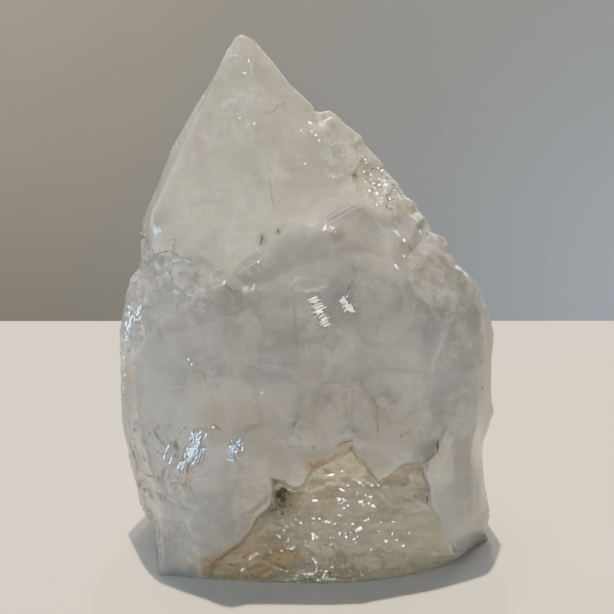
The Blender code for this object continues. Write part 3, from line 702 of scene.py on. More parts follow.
def quartz_material():
    m = Nodes("milky_quartz_skin")
    broken, upper, foot = m.mask("broken"), m.mask("upper"), m.mask("foot")
    shoulder, back = m.mask("shoulder"), m.mask("back")
    cloud = m.noise(38.0, 5.0, 0.6, distort=0.4)
    patch = m.noise(110.0, 4.0, 0.62, distort=0.8)
    fine = m.noise(420.0, 4.0, 0.65)
    grain = m.noise(1500.0, 2.0, 0.6)
    # healed streaks: thin, across the faces above and up and down below
    streak = m.noise(300.0, 4.0, 0.7, stretch=(0.35, 0.35, 3.0), distort=0.3)
    brush = m.noise(420.0, 4.0, 0.7, stretch=((0.12, 0.3, 1.0), (0, 24, 0)), distort=0.2)

    # the body's grey has a blue cast, and the upper faces and shoulder are paler and creamier: partly the stone's
    # colours, partly painted light, the warm light from above on the tops and the cool fill on the steep body
    tone = m.mix(m.ramp(cloud, 0.32, 0.68), (0.445, 0.47, 0.488), (0.545, 0.57, 0.583))
    tone = m.mix(m.math("MULTIPLY", upper, 0.88), tone, (0.662, 0.668, 0.607))
    tone = m.mix(m.math("MULTIPLY", shoulder, 0.85), tone, (0.69, 0.672, 0.61))
    # painted light: the back is paler than the front, as less light reaches it
    tone = m.mix(m.math("MULTIPLY", back, 0.45), tone, (0.80, 0.80, 0.78))
    mottle = m.math("MULTIPLY", m.ramp(patch, 0.44, 0.70), m.ramp(fine, 0.32, 0.68))
    tone = m.mix(m.math("MULTIPLY", mottle, 0.42), tone, (0.88, 0.87, 0.83))
    wisps = m.math("MULTIPLY", m.ramp(streak, 0.54, 0.74), upper)
    tone = m.mix(m.math("MULTIPLY", wisps, 0.34), tone, (0.92, 0.91, 0.87))
    # painted light and frosting: mixes in a near white, and makes the ground rougher and less clear
    frost_and_painted_light = m.math("MULTIPLY", m.mask("frost_and_painted_light"), m.ramp(fine, 0.30, 0.70), clamp=True)
    tone = m.mix(m.math("MULTIPLY", frost_and_painted_light, 0.60), tone, (0.93, 0.92, 0.89))
    tone = m.mix(m.math("MULTIPLY", m.mask("lilac"), 0.30), tone, (0.66, 0.56, 0.60))
    # painted cool light: mixes in a light blue
    tone = m.mix(m.math("MULTIPLY", m.mask("painted_cool_light"), 0.55), tone, (0.53, 0.63, 0.745))
    # painted shade and smoky tone: mixes in a darker grey
    tone = m.mix(m.math("MULTIPLY", m.mask("smoke_and_painted_shade"), 0.40), tone, (0.33, 0.32, 0.30))
    tone = m.mix(m.math("MULTIPLY", m.mask("shade"), 0.78), tone, (0.25, 0.25, 0.255))
    # painted shade: mixes in a dark grey
    tone = m.mix(m.math("MULTIPLY", m.mask("ledge"), 0.72), tone, (0.205, 0.205, 0.215))
    bed = m.noise(260.0, 5.0, 0.65, stretch=(0.35, 0.5, 1.5), distort=0.5)
    ground = m.mix(m.ramp(bed, 0.28, 0.72), (0.65, 0.59, 0.435), (0.86, 0.825, 0.685))
    tone = m.mix(m.math("MULTIPLY", foot, 0.88), tone, ground)

    # iron stain, broken up by the grain of the ground that holds it
    stain = m.math(
        "MULTIPLY", m.mask("rust"), m.ramp(m.noise(240.0, 4.0, 0.7, distort=0.7), 0.29, 0.54)
    )
    on_back = m.math(
        "MULTIPLY",
        m.math("MULTIPLY", back, m.ramp(m.noise(60.0, 3.0, 0.6, distort=1.0), 0.60, 0.72)),
        m.ramp(m.noise(240.0, 4.0, 0.7), 0.45, 0.62),
    )
    stain = m.math("MAXIMUM", stain, m.math("MULTIPLY", on_back, 0.5))
    tone = m.mix(m.math("MULTIPLY", stain, 0.85), tone, (0.43, 0.30, 0.155))
    deep = m.math("MULTIPLY", m.mask("rust"), m.ramp(m.noise(700.0, 3.0, 0.6), 0.60, 0.70))
    tone = m.mix(m.math("MULTIPLY", deep, 0.8), tone, (0.20, 0.09, 0.03))
    dirt = m.math("MULTIPLY", m.mask("dirt"), m.ramp(m.noise(520.0, 4.0, 0.7), 0.40, 0.58))
    tone = m.mix(dirt, tone, (0.06, 0.05, 0.04))

    clear = m.ramp(cloud, 0.32, 0.68, 0.68, 0.46)
    clear = m.math("ADD", clear, m.math("MULTIPLY", foot, 0.13))
    clear = m.math("MULTIPLY", clear, m.math("SUBTRACT", 1.0, m.math("MULTIPLY", back, 0.10)))
    clear = m.math("SUBTRACT", clear, m.math("MULTIPLY", upper, 0.12))
    clear = m.math("SUBTRACT", clear, m.math("MULTIPLY", m.mask("dense"), 0.12))
    clear = m.math("SUBTRACT", clear, m.math("MULTIPLY", m.mask("ledge"), 0.25))
    clear = m.math("SUBTRACT", clear, m.math("MULTIPLY", m.mask("matte"), 0.35))
    clear = m.math("SUBTRACT", clear, m.math("MULTIPLY", broken, 0.06))
    clear = m.math("SUBTRACT", clear, m.math("MULTIPLY", shoulder, 0.12))
    clear = m.math("SUBTRACT", clear, m.math("MULTIPLY", frost_and_painted_light, 0.30))
    clear = m.math("SUBTRACT", clear, m.math("MULTIPLY", mottle, 0.10))
    clear = m.math("SUBTRACT", clear, m.math("MULTIPLY", stain, 0.30))
    clear = m.math("SUBTRACT", clear, dirt, clamp=True)

    rough = m.ramp(fine, 0.3, 0.7, 0.10, 0.22)
    rough = m.math("SUBTRACT", rough, m.math("MULTIPLY", foot, 0.11))
    rough = m.math("SUBTRACT", rough, m.math("MULTIPLY", broken, 0.05))
    rough = m.math("SUBTRACT", rough, m.math("MULTIPLY", back, 0.08))
    rough = m.math("ADD", rough, m.math("MULTIPLY", frost_and_painted_light, 0.30))
    rough = m.math("ADD", rough, m.math("MULTIPLY", m.mask("matte"), 0.34))
    rough = m.math("ADD", rough, m.math("MULTIPLY", stain, 0.12))
    rough = m.math("MAXIMUM", rough, 0.03)

    m.set(
        Base_Color=tone,
        Roughness=rough,
        IOR=1.544,
        Transmission_Weight=clear,
        Subsurface_Weight=1.0,
        Subsurface_Radius=(1.0, 0.95, 0.88),
        Subsurface_Scale=0.006,
    )
    normal = m.bump(patch, 0.0006, 0.35)
    lines = m.noise(700.0, 3.0, 0.6, stretch=(0.12, 0.12, 1.0))
    normal = m.bump(lines, 0.00012, 0.35, normal)
    level = m.ramp(m.noise(150.0, 3.0, 0.6, stretch=(0.06, 0.06, 1.0)), 0.38, 0.62)
    normal = m.bump(m.math("MULTIPLY", level, back), 0.0007, 0.6, normal)
    normal = m.bump(grain, 0.00004, 0.25, normal)
    combed = m.math("MULTIPLY", brush, m.mask("striated"))
    normal = m.bump(combed, 0.0004, 0.6, normal)
    m.set(Normal=normal)
    absorb = m.add("ShaderNodeVolumeAbsorption")
    absorb.inputs["Color"].default_value = (0.80, 0.84, 0.86, 1)
    absorb.inputs["Density"].default_value = 10.0
    m.tree.links.new(absorb.outputs[0], m.end.inputs["Volume"])
    return m.material


skin.data.materials.clear()
skin.data.materials.append(quartz_material())


# ---------------------------------------------------------------- what is sealed in it
def piece_of(name, points, faces, material, smooth=False):
    data = bpy.data.meshes.new(name)
    data.from_pydata([tuple(p) for p in points], [], [tuple(f) for f in faces])
    data.validate()
    piece = bpy.data.objects.new(name, data)
    SCENE.collection.objects.link(piece)
    data.materials.append(material)
    if smooth:
        data.polygons.foreach_set("use_smooth", [True] * len(data.polygons))
    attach(piece, "root")
    return piece


# ---------------------------------------------------------------- small things on it
TREE = BVHTree.FromObject(skin, bpy.context.evaluated_depsgraph_get())
WARM_LAMP = (0.03, -0.73, 0.21)
COOL_LAMP = (-0.62, -0.34, 0.20)
DICE = np.random.RandomState(7)


def unit(v):
    v = np.asarray(v, float)
    return v / max(np.linalg.norm(v), 1e-12)


def landing(across, down, look=FRONT_LOOK):
    """Where a line of sight meets the skin, and the skin's normal there."""
    spot, normal, _, _ = TREE.ray_cast(Vector(look.eye), Vector(look.sight(across, down)))
    if spot is None:
        return None, None
    return np.array(spot), np.array(normal)


def in_front(p, n):
    return n @ unit(EYE - p) > 0.05


def stepped(line, step=1.3):
    line = [np.asarray(p, float) for p in line]
    out = [line[0]]
    for a, b in zip(line, line[1:]):
        parts = max(1, int(math.ceil(np.linalg.norm(b - a) / step)))
        out += [a + (b - a) * k / parts for k in range(1, parts + 1)]
    return out


def ribbons(name, lines, material, waver=0.35, lift=0.02, sink=0.12):
    """Thin raised threads along lines of a drawing; width in mm tapers to the ends."""
    points, faces = [], []
    for line, width, *look in lines:
        look = look[0] if look else FRONT_LOOK
        run = stepped(line)
        stretches = [[]]
        for k, spot in enumerate(run):
            t = k / max(len(run) - 1, 1)
            spot = spot + DICE.normal(0, waver, 2) * (0.15 if k in (0, len(run) - 1) else 1)
            p, n = landing(*spot, look)
            if p is None or (look is not FRONT_LOOK and in_front(p, n)):
                continue
            wide = width * (0.25 + 0.75 * math.sin(math.pi * min(max(t, 0.06), 0.94)) ** 0.6)
            # a line that jumps over a ledge or round a corner is parted there
            if stretches[-1] and np.linalg.norm(p - stretches[-1][-1][0]) > 2.0 * MM:
                stretches.append([])
            stretches[-1].append((p, n, wide * (0.55 + 0.9 * DICE.rand())))
        for rows in stretches:
            if len(rows) < 2:
                continue
            first = len(points)
            for k, (p, n, wide) in enumerate(rows):
                before, after = rows[max(k - 1, 0)][0], rows[min(k + 1, len(rows) - 1)][0]
                side = unit(np.cross(unit(after - before), n)) * wide * 0.5 * MM
                top, low = p + n * lift * MM, p - n * sink * MM
                points += [top - side, top + side, low + side, low - side]
            for k in range(len(rows) - 1):
                a, b = first + 4 * k, first + 4 * (k + 1)
                for c in range(4):
                    d = (c + 1) % 4
                    faces.append((a + c, a + d, b + d, b + c))
            faces.append((first + 3, first + 2, first + 1, first))
            last = first + 4 * (len(rows) - 1)
            faces.append((last, last + 1, last + 2, last + 3))
    return piece_of(name, points, faces, material)


def grains(name, spots, material, lift=0.02, sink=0.15):
    """Flat irregular grains on the skin: across, down, size in mm, and the drawing."""
    points, faces = [], []
    for across, down, size, *look in spots:
        p, n = landing(across, down, *look)
        if p is None or (look and in_front(p, n)):
            continue
        x = unit(np.cross(n, (0.3, 0.1, 1.0)))
        y = np.cross(n, x)
        count = 6
        first = len(points)
        turn = DICE.rand() * 6.28
        for layer in (lift, -sink):
            for k in range(count):
                a = turn + 6.2832 * k / count
                r = size * 0.5 * (0.6 + 0.4 * ((k * 7919 + first) % 11) / 10)
                points.append(
                    p + (x * math.cos(a) * r * 1.3 + y * math.sin(a) * r + n * layer) * MM
                )
        faces.append(tuple(range(first, first + count)))
        faces.append(tuple(range(first + 2 * count - 1, first + count - 1, -1)))
        for k in range(count):
            d = (k + 1) % count
            faces.append((first + k, first + count + k, first + count + d, first + d))
    return piece_of(name, points, faces, material)


def chips(name, rows, material):
    """Small polished breaks, slightly domed. Each row is across, down, width and height in
    the drawing, turn in degrees, what it faces and how far that wanders in degrees. A
    lamp's place makes it face halfway between eye and lamp; None, along the skin."""
    points, faces = [], []
    for across, down, wide, tall, turn, lamp_at, spread, *look in rows:
        look = look[0] if look else FRONT_LOOK
        p, n = landing(across, down, look)
        if p is None:
            continue
        if lamp_at is None:
            face = n
        else:
            face = unit(unit(look.eye - p) + unit(np.array(lamp_at) - p))
        face = unit(face + DICE.normal(0, math.radians(spread), 3))
        lean = face @ n
        if lean < 0.62:
            face = unit(face + n * (0.62 - lean) * 1.6)
            lean = face @ n
        x = unit(np.cross(look.up, face))
        if x @ look.right < 0:
            x = -x
        y = np.cross(face, x)
        if y @ look.up < 0:
            y = -y
        c, s = math.cos(math.radians(turn)), math.sin(math.radians(turn))
        count = 5 if wide > 2.9 and abs(turn) < 46 and lamp_at is WARM_LAMP else 7
        turns = (np.arange(count) + 0.7 * DICE.rand(count)) / count * 6.2832
        half = 0.5 * UNIT * min(wide, tall)
        tilt = math.sqrt(max(0.0, 1 - lean * lean)) * 0.5 * UNIT * max(wide, tall)
        rim, back = [], []
        for a in turns:
            swell = 0.8 + 0.35 * DICE.rand()
            u = math.cos(a) * wide * 0.5 * swell
            v = math.sin(a) * tall * 0.5 * swell
            flat = (x * (u * c - v * s) + y * (u * s + v * c)) * UNIT
            rim.append(p + flat + n * 0.04 * MM)
            back.append(p + flat * 1.3 - n * (0.12 * MM + tilt))
        first = len(points)
        points += [p + n * 0.04 * MM + face * half * 0.018] + rim + back
        hand = 1 if np.cross(rim[0] - points[first], rim[1] - points[first]) @ face > 0 else -1
        for k in range(count):
            d = (k + 1) % count
            a, b = first + 1 + k, first + 1 + d
            c1, c2 = a + count, b + count
            faces += [(first, a, b)[::hand], (a, c1, c2, b)[::hand]]
        faces.append(tuple(range(first + 1 + count, first + 1 + 2 * count))[::-hand])
    piece = piece_of(name, points, faces, material, smooth=True)
    piece.data.set_sharp_from_angle(angle=math.radians(25))
    return piece


def simple(name, colour, roughness, clear=0.0, vary=0.25, scale=900.0, **more):
    m = Nodes(name)
    mottle = m.ramp(m.noise(scale, 3.0, 0.6), 0.35, 0.65)
    dark = tuple(c * (1 - vary) for c in colour)
    m.set(
        Base_Color=m.mix(mottle, dark, colour),
        Roughness=m.ramp(mottle, 0.0, 1.0, roughness * 0.45, roughness),
        IOR=1.544,
        Transmission_Weight=clear,
    )
    m.set(**more)
    return m.material


ribbons(
    "dark_cracks",
    [
        ([(269, 176), (270, 184), (271, 193), (273, 203), (274, 212)], 0.15),
        ([(152, 262), (154, 257), (160, 253), (167, 251), (173, 252), (178, 257), (183, 260)], 0.26),
        ([(176, 239), (174, 245), (173, 252)], 0.2),
        ([(166, 241), (172, 240), (176, 239)], 0.14),
        ([(437, 440), (438, 446), (438, 453)], 0.42),
        ([(438, 453), (432, 456), (426, 461), (420, 466)], 0.36),
        ([(438, 453), (441, 456), (443, 458)], 0.22),
        ([(390, 478), (393, 472), (398, 467), (403, 465), (410, 465), (419, 462)], 0.26),
        ([(262, 233), (262, 239), (260, 245)], 0.4),
        ([(278, 229), (279, 234)], 0.4),
        ([(367, 466), (372, 473), (379, 481)], 0.3),
        ([(273, 113), (277, 107), (278, 104)], 0.14),
        ([(262, 112), (267, 113), (272, 113)], 0.1),
        ([(403, 483), (405, 486)], 0.3),
        ([(415, 494), (416, 499)], 0.35),
        ([(427, 496), (427, 503)], 0.4),
        ([(448, 541), (453, 546), (456, 552)], 0.2),
        ([(385, 192), (387, 197), (388, 202)], 0.4),
        ([(323, 114), (324, 118)], 0.3),
        ([(272, 487), (277, 492), (281, 499), (286, 508)], 0.5),
    ],
    simple("crack_dark", (0.13, 0.11, 0.09), 0.6),
)
ribbons(
    "brown_lines",
    [
        ([(192, 452), (190, 458), (188, 466), (187, 474)], 0.55),
        ([(187, 476), (186, 482), (185, 488)], 0.22),
        ([(202, 370), (205, 376), (206, 383)], 0.24),
        ([(215, 424), (218, 428), (222, 432)], 0.34),
        ([(336, 446), (342, 443), (348, 441), (354, 441)], 0.5),
        ([(312, 468), (318, 463), (324, 461)], 0.5),
    ],
    simple("line_brown", (0.20, 0.14, 0.09), 0.5),
)
# painted shade: grey lines along the facet edges and ridges on the front and upper faces, where the shade changes from
# one face to the next
ribbons(
    "edge_shade_lines",
    [
        ([(350, 250), (353, 262), (355, 274), (352, 283), (348, 291)], 0.24),
        ([(292.5, 286), (294, 306), (296, 336), (300, 361)], 0.16),
        ([(357, 376), (362, 385), (368, 393), (377, 405), (377.5, 423), (377.8, 441)], 0.30),
        ([(353, 381), (352.6, 404), (352.6, 428), (361, 442)], 0.16),
        ([(303, 394), (299, 412), (293, 430), (287, 446)], 0.20),
        ([(214, 78), (204, 102), (192, 126), (180, 151), (170, 175), (160, 197)], 0.12),
        ([(219, 70), (208, 92), (198, 113)], 0.08),
        ([(251, 52), (253, 79), (257, 112), (262, 135), (267, 165)], 0.07),
    ],
    simple("edge_shade_grey", (0.30, 0.29, 0.28), 0.5, 0.2),
    waver=0.2, lift=0.012,
)
# pale healed lines and growth steps; some are painted glints and glare: the streak on the tip's ridge, the dashes
# where the lamp glints on the shoulder and the right flank, and the line in the bluish glare on the left edge
ribbons(
    "pale_lines_and_glints",
    [
        ([(149, 476), (158, 475.6), (168, 476)], 0.16),
        ([(190, 479), (200, 479.4), (209, 479)], 0.2),
        ([(365, 209), (373, 217), (383, 229), (394, 242)], 0.17),
        ([(393, 262), (396, 266), (399, 270)], 0.42),
        ([(380, 208), (387, 208.4), (394, 208)], 0.3),
        ([(322, 222), (335, 214), (348, 207), (361, 200)], 0.2),
        ([(325, 226), (338, 218), (350, 211), (362, 206)], 0.15),
        ([(320, 217), (333, 210), (346, 203), (357, 197)], 0.16),
        ([(330, 208), (340, 203), (352, 197)], 0.18),
        ([(256, 244), (257, 249), (261, 253)], 0.4),
        ([(249, 56), (251, 66), (253, 78)], 0.3),
        ([(131, 300), (127, 318), (124, 340)], 0.25),
    ],
    simple("line_pale_and_glint", (0.74, 0.775, 0.80), 0.25, 0.15),
    waver=0.3,
)
ribbons(
    "faint_lines",
    [
        ([(205, 187), (215, 186.5), (225, 187)], 0.2),
        ([(206, 193), (214, 193.4), (224, 193)], 0.2),
        ([(207, 200), (216, 199.5), (224, 200)], 0.2),
        ([(441, 430), (467, 420), (494, 409)], 0.10),
        ([(236, 275), (246, 268), (256, 262), (266, 252)], 0.25),
        ([(229, 478), (244, 476), (262, 484)], 0.14),
        ([(456, 545), (461, 532), (468, 518)], 0.2),
    ],
    simple("line_faint", (0.70, 0.69, 0.66), 0.3, 0.1),
    waver=0.25, lift=0.01,
)

specks = [
    (215, 83, 0.5), (253, 91, 0.3), (313, 448, 0.8), (421, 558, 0.5),
    (427, 557, 0.55), (432, 555, 0.6), (347, 203, 0.5), (337, 217, 0.45),
    (382, 175, 0.6), (366, 180, 0.5), (208, 116, 0.3), (330, 573, 0.7),
    (299, 438, 0.5), (322, 450, 0.4), (336, 455, 0.6), (350, 458, 0.5), (362, 452, 0.4),
    (330, 542, 0.4), (241, 466, 0.3), (302, 300, 0.3), (388, 470, 0.4), (283, 388, 0.3),
    (321, 518, 0.3),
]
specks += [
    (282 + DICE.normal(0, 4.5), 497 + DICE.normal(0, 7), 0.18 + 0.55 * DICE.rand() ** 2)
    for _ in range(150)
]
specks += [
    (250 + 60 * DICE.rand(), 545 + 35 * DICE.rand(), 0.10 + 0.18 * DICE.rand())
    for _ in range(40)
]
grains("dirt_specks", specks, simple("dirt", (0.10, 0.08, 0.055), 0.8))
grains(
    "dark_facets",
    [
        (364 + 36 * DICE.rand(), 166 + 44 * DICE.rand(), 0.45 + 0.95 * DICE.rand() ** 2)
        for _ in range(17)
    ],
    simple("facet_dark", (0.33, 0.34, 0.36), 0.12),
)
rusty = [
    (215, 568, 0.8), (258, 577, 0.9), (338, 577, 0.9), (262, 574, 0.6), (311, 466, 0.9),
    (306, 470, 0.7), (318, 462, 0.6), (277, 108, 0.3), (218, 428, 0.5), (222, 430, 0.4),
    (155, 275, 0.6), (152, 278, 0.4), (246, 540, 0.5), (240, 545, 0.4), (357, 178, 0.9),
    (355, 175, 0.7), (359, 181, 0.6),
]
rusty += [
    (200 + 130 * DICE.rand(), 566 + 14 * DICE.rand(), 0.12 + 0.3 * DICE.rand() ** 2)
    for _ in range(60)
]
grains("rust_specks", rusty, simple("rust", (0.40, 0.24, 0.10), 0.7, 0.0, 0.5))

# polished breaks that catch the lamp in front
rows = [(*b, WARM_LAMP, 0.3) for b in [
    (249, 62, 2.4, 5, 0), (245, 73, 3.5, 2.2, -10), (254, 124, 2.5, 2.5, 0),
    (309.4, 123.4, 5, 5, 0), (301, 130.7, 2.4, 2.4, 0), (311.7, 132, 3, 3, 0),
    (315.7, 135.2, 3, 2.6, 0), (319.1, 140.4, 2.6, 3, 0), (145, 225, 2, 3, 0),
    (404, 241, 3, 3.5, 0), (403, 256, 2.6, 2, 0), (396, 267, 2.4, 6, 35),
    (386, 179, 3, 3, 0), (379.5, 179.3, 3.4, 2, 0), (365, 182.3, 2.4, 3, 0),
    (373, 197.7, 5, 4, 30), (377, 204.5, 3, 2.4, 0), (388, 208.2, 11, 1.8, 0),
    (402, 197.2, 7, 1.4, 0), (412, 203.7, 5, 2, -45), (401, 193, 2.4, 2, 0),
    (381, 171, 5, 2.4, 30), (378, 168, 2, 2, 0), (392, 186, 2, 2, 0), (370, 190, 2, 2, 0),
    (333.6, 177.2, 1.3, 3, 0), (304.9, 164, 1.2, 2.6, 0), (258, 262, 2, 4, -15),
    (330, 474.4, 12, 2, 0), (342, 470.8, 2, 2, 0), (359, 481.4, 4, 2, 0),
    (363.4, 485.2, 3, 1.6, 0), (372, 485.2, 3, 1.4, 0), (378.5, 485.2, 4, 1.6, 0),
    (347.3, 485.2, 2, 1.6, 0), (341, 489.5, 8, 1, -25), (315, 500.3, 7, 3, 10),
    (338.8, 499, 6, 3, -20), (344, 508, 3, 2, 0), (348, 505.6, 3, 1, 0),
    (360, 500.9, 6, 3.4, 10), (368.5, 503, 2, 4, 10), (372.8, 505.6, 5, 3.4, -25),
    (313, 518.5, 4, 1, 0), (320, 518.5, 3, 1, 0), (326.5, 522, 10, 2.4, -14),
    (335, 523.6, 3, 1, 0), (339, 515.4, 2, 1.4, 0), (353, 524, 3, 2.6, 0),
    (359, 528.3, 8, 5.6, 25), (355.4, 531, 2, 1.6, 0), (393, 521.7, 2, 1.6, 0),
    (392.3, 533.6, 1.4, 3, 0), (386, 541.2, 4, 4, 0), (403.7, 545.3, 4, 2, 40),
    (301, 522.6, 3, 1.4, 0), (339.7, 533.6, 1.4, 3, 0),
]]
rows += [(*b, WARM_LAMP, 1.6) for b in [
    (386, 497.6, 4, 1.4, 0), (396.9, 540.2, 3, 1, 0), (377, 532, 1.5, 1.5, 0),
    (368, 524, 1.5, 1.5, 0), (381, 522.2, 1.2, 1, 0), (388, 522, 1, 1, 0),
    (434.7, 520.7, 2, 2, 0), (240, 118, 2, 2, 0), (155, 195, 1.6, 5, -20),
    (185, 428, 4, 2, 20), (181, 431, 2, 2, 0), (214, 427, 3, 2, 0), (158, 452, 3, 2, 0),
    (154, 463, 2, 2, 0), (151, 493, 3, 2, -30), (345, 247, 2.4, 2.4, 0), (262, 392, 2.4, 2.4, 0),
    (131, 262, 2, 3, 0), (140, 272, 2, 2, 0), (166, 268, 2, 2, 0), (150, 284, 2, 3, 0),
]]
for _ in range(150):
    rows.append((
        300 + 118 * DICE.rand(), 474 + 78 * DICE.rand(), 0.7 + 1.1 * DICE.rand(),
        0.6 + 0.7 * DICE.rand(), 0, WARM_LAMP, 3.0,
    ))
for _ in range(60):
    rows.append((
        358 + 44 * DICE.rand(), 162 + 50 * DICE.rand(), 1 + 1.4 * DICE.rand(),
        0.8 + 1.0 * DICE.rand(), 90 * DICE.rand(), WARM_LAMP, 3.0,
    ))
for _ in range(46):
    t = DICE.rand()
    rows.append((
        363 + 36 * t + DICE.normal(0, 4), 170 + 30 * t + DICE.normal(0, 7),
        1.8 + 2.6 * DICE.rand(), 1.4 + 1.8 * DICE.rand(), 90 * DICE.rand() - 45, WARM_LAMP,
        1.3 if DICE.rand() < 0.6 else 5.0,
    ))
# two lamp marks on combed ground above the middle
for k in range(24):
    t = k / 23
    rows.append((
        313 + 6.5 * t + DICE.normal(0, 1.3), 298.0 + 15.5 * t + DICE.normal(0, 0.4),
        5 + 5.5 * DICE.rand(), 0.75, 24 + DICE.normal(0, 4), WARM_LAMP,
        0.55 + 2.2 * abs(t - 0.5) ** 1.5,
    ))
for k in range(18):
    t = k / 17
    rows.append((
        320.5 + 8.0 * t + DICE.normal(0, 1.4), 315.0 + 11.0 * t + DICE.normal(0, 0.4),
        6 + 6.5 * DICE.rand(), 0.8, 31 + DICE.normal(0, 4), WARM_LAMP,
        0.55 + 2.4 * abs(t - 0.5) ** 1.5,
    ))
for k in range(120):
    t = DICE.rand()
    rows.append((
        341.5 + 10 * t + DICE.normal(0, 1.7), 299 + 11 * t + DICE.normal(0, 1.9),
        0.8 + 1.0 * DICE.rand(), 0.7 + 0.8 * DICE.rand(), 35 + DICE.normal(0, 20), WARM_LAMP,
        0.8,
    ))
for k in range(30):
    rows.append((
        333 + 22 * DICE.rand(), 292 + 26 * DICE.rand(), 1.2 + 2.4 * DICE.rand(), 0.6, 30,
        WARM_LAMP, 3.2,
    ))


def streak(a, b, count, jitter, wide, tall, turn, spread):
    """Many small breaks strewn along a line, facing the bluish lamp at the front left."""
    for _ in range(count):
        t = DICE.rand()
        rows.append((
            a[0] + (b[0] - a[0]) * t + DICE.normal(0, jitter),
            a[1] + (b[1] - a[1]) * t + DICE.normal(0, jitter * 0.7),
            wide * (0.6 + 0.8 * DICE.rand()), tall * (0.5 + 0.9 * DICE.rand()),
            turn + DICE.normal(0, 8), COOL_LAMP, spread,
        ))


streak((198, 433), (191, 457), 104, 2.2, 1.15, 5.2, -16, 1.5)
streak((200, 432), (190, 460), 60, 2.8, 0.8, 8.5, -18, 1.1)
streak((236, 440), (235, 462), 30, 3.0, 0.8, 5.0, -8, 1.4)
streak((204, 447), (196, 463), 64, 2.2, 1.15, 4.6, -10, 2.0)
streak((186, 450), (179, 470), 64, 1.9, 1.05, 5.2, -16, 1.5)
streak((180, 474), (174, 492), 14, 1.6, 1.3, 3.4, -16, 3.0)
streak((235, 443), (233, 461), 100, 3.2, 1.2, 3.0, 0, 2.3)
streak((184, 424), (181, 434), 8, 1.0, 1.2, 3.0, -25, 2.0)
streak((168, 447), (164, 457), 4, 0.3, 0.9, 8.0, -25, 1.2)
streak((175, 451), (169, 465), 6, 0.3, 0.9, 9.0, -27, 1.2)
streak((164, 472), (160, 480), 4, 1.0, 1.0, 5.0, -25, 3.0)
streak((131, 306), (126, 350), 60, 2.0, 1.8, 5.0, 6, 1.6)
streak((142, 302), (134, 322), 30, 2.4, 1.6, 4.0, -10, 1.8)
streak((125, 356), (124, 400), 40, 1.4, 1.2, 2.4, 0, 2.4)
streak((330, 143), (336, 156), 30, 2.0, 2.2, 1.8, 20, 1.6)
streak((334, 156), (346, 172), 40, 2.2, 2.2, 1.8, -30, 2.2)
streak((210, 362), (217, 382), 18, 2.2, 1.4, 2.4, 0, 3.5)
streak((186, 360), (192, 365), 10, 1.2, 2.4, 1.4, -20, 2.5)
streak((281, 104), (286, 102), 6, 0.8, 2.6, 1.8, 20, 1.2)
streak((385, 194), (389, 202), 6, 1.0, 2.0, 2.6, 0, 2.0)
streak((150, 488), (178, 508), 16, 2.4, 5.0, 1.4, -38, 4.0)
streak((196, 288), (214, 312), 22, 6.0, 1.4, 1.8, 0, 5.0)
grains(
    "pale_flecks",
    [
        (128 + 360 * DICE.rand(), 150 + 400 * DICE.rand(), 0.10 + 0.34 * DICE.rand() ** 3)
        for _ in range(420)
    ],
    simple("fleck", (0.80, 0.795, 0.76), 0.3, 0.0, 0.1),
    lift=0.01,
)
fine = []
for _ in range(26):
    spot = np.array((135 + 345 * DICE.rand(), 270 + 260 * DICE.rand()))
    reach, lean = 5 + 22 * DICE.rand() ** 2, math.radians(-28 + DICE.normal(0, 16))
    if DICE.rand() < 0.25:
        lean += math.radians(80)
    way = np.array((math.cos(lean), math.sin(lean)))
    fine.append(([spot, spot + way * reach], 0.04 + 0.05 * DICE.rand()))
ribbons(
    "scratches", fine, simple("scratch", (0.74, 0.74, 0.71), 0.3, 0.0, 0.1),
    waver=0.1, lift=0.008, sink=0.06,
)

# the same kind of break wherever the ground is rough, facing every way
LOOKS = (FRONT_LOOK, SIDE_LOOK, BACK_LOOK, LEFT_LOOK)
SQUARE = np.stack([look.facing(CO, NORMAL) for look in LOOKS], axis=1)


def strewn(share, count, least, most, spread):
    """Breaks on random points of the skin, picked with the share given for each."""
    out = []
    for k in DICE.choice(len(CO), count, p=share / share.sum()):
        look = LOOKS[int(np.argmax(SQUARE[k]))]
        across, down = look.drawn(CO[k : k + 1])[0]
        out.append((
            across, down, least + (most - least) * DICE.rand() ** 2,
            least + (most - least) * DICE.rand() ** 2, 180 * DICE.rand(), None, spread, look,
        ))
    return out


above = CO[:, 2] > 0.002
rows += strewn(np.where(above, ROUGHNESS**2, 0), 420, 0.9, 3.0, 14.0)
rows += strewn(np.where(above, EDGY * (1 - FRONT), 0), 420, 1.0, 4.5, 12.0)
rows += strewn(np.where(above, (1 - FRONT), 0), 160, 0.8, 2.6, 9.0)


def on_ground(row):
    """Which stretch of ground a break lies on."""
    if len(row) > 7 and row[7] is not FRONT_LOOK:
        return "body"
    spot = np.array([row[:2]], float)
    for kind in ("foot", "upper", "shoulder"):
        if in_area(spot, AREAS[kind], 1.0)[0] > 0.5:
            return "upper" if kind == "shoulder" else kind
    return "body"


for ground, colour in (
    ("foot", (0.44, 0.38, 0.27)), ("upper", (0.56, 0.53, 0.46)), ("body", (0.43, 0.425, 0.40)),
):
    chips(
        "breaks_" + ground,
        [row for row in rows if on_ground(row) == ground],
        simple("break_" + ground, colour, 0.14, 0.0, 0.1),
    )

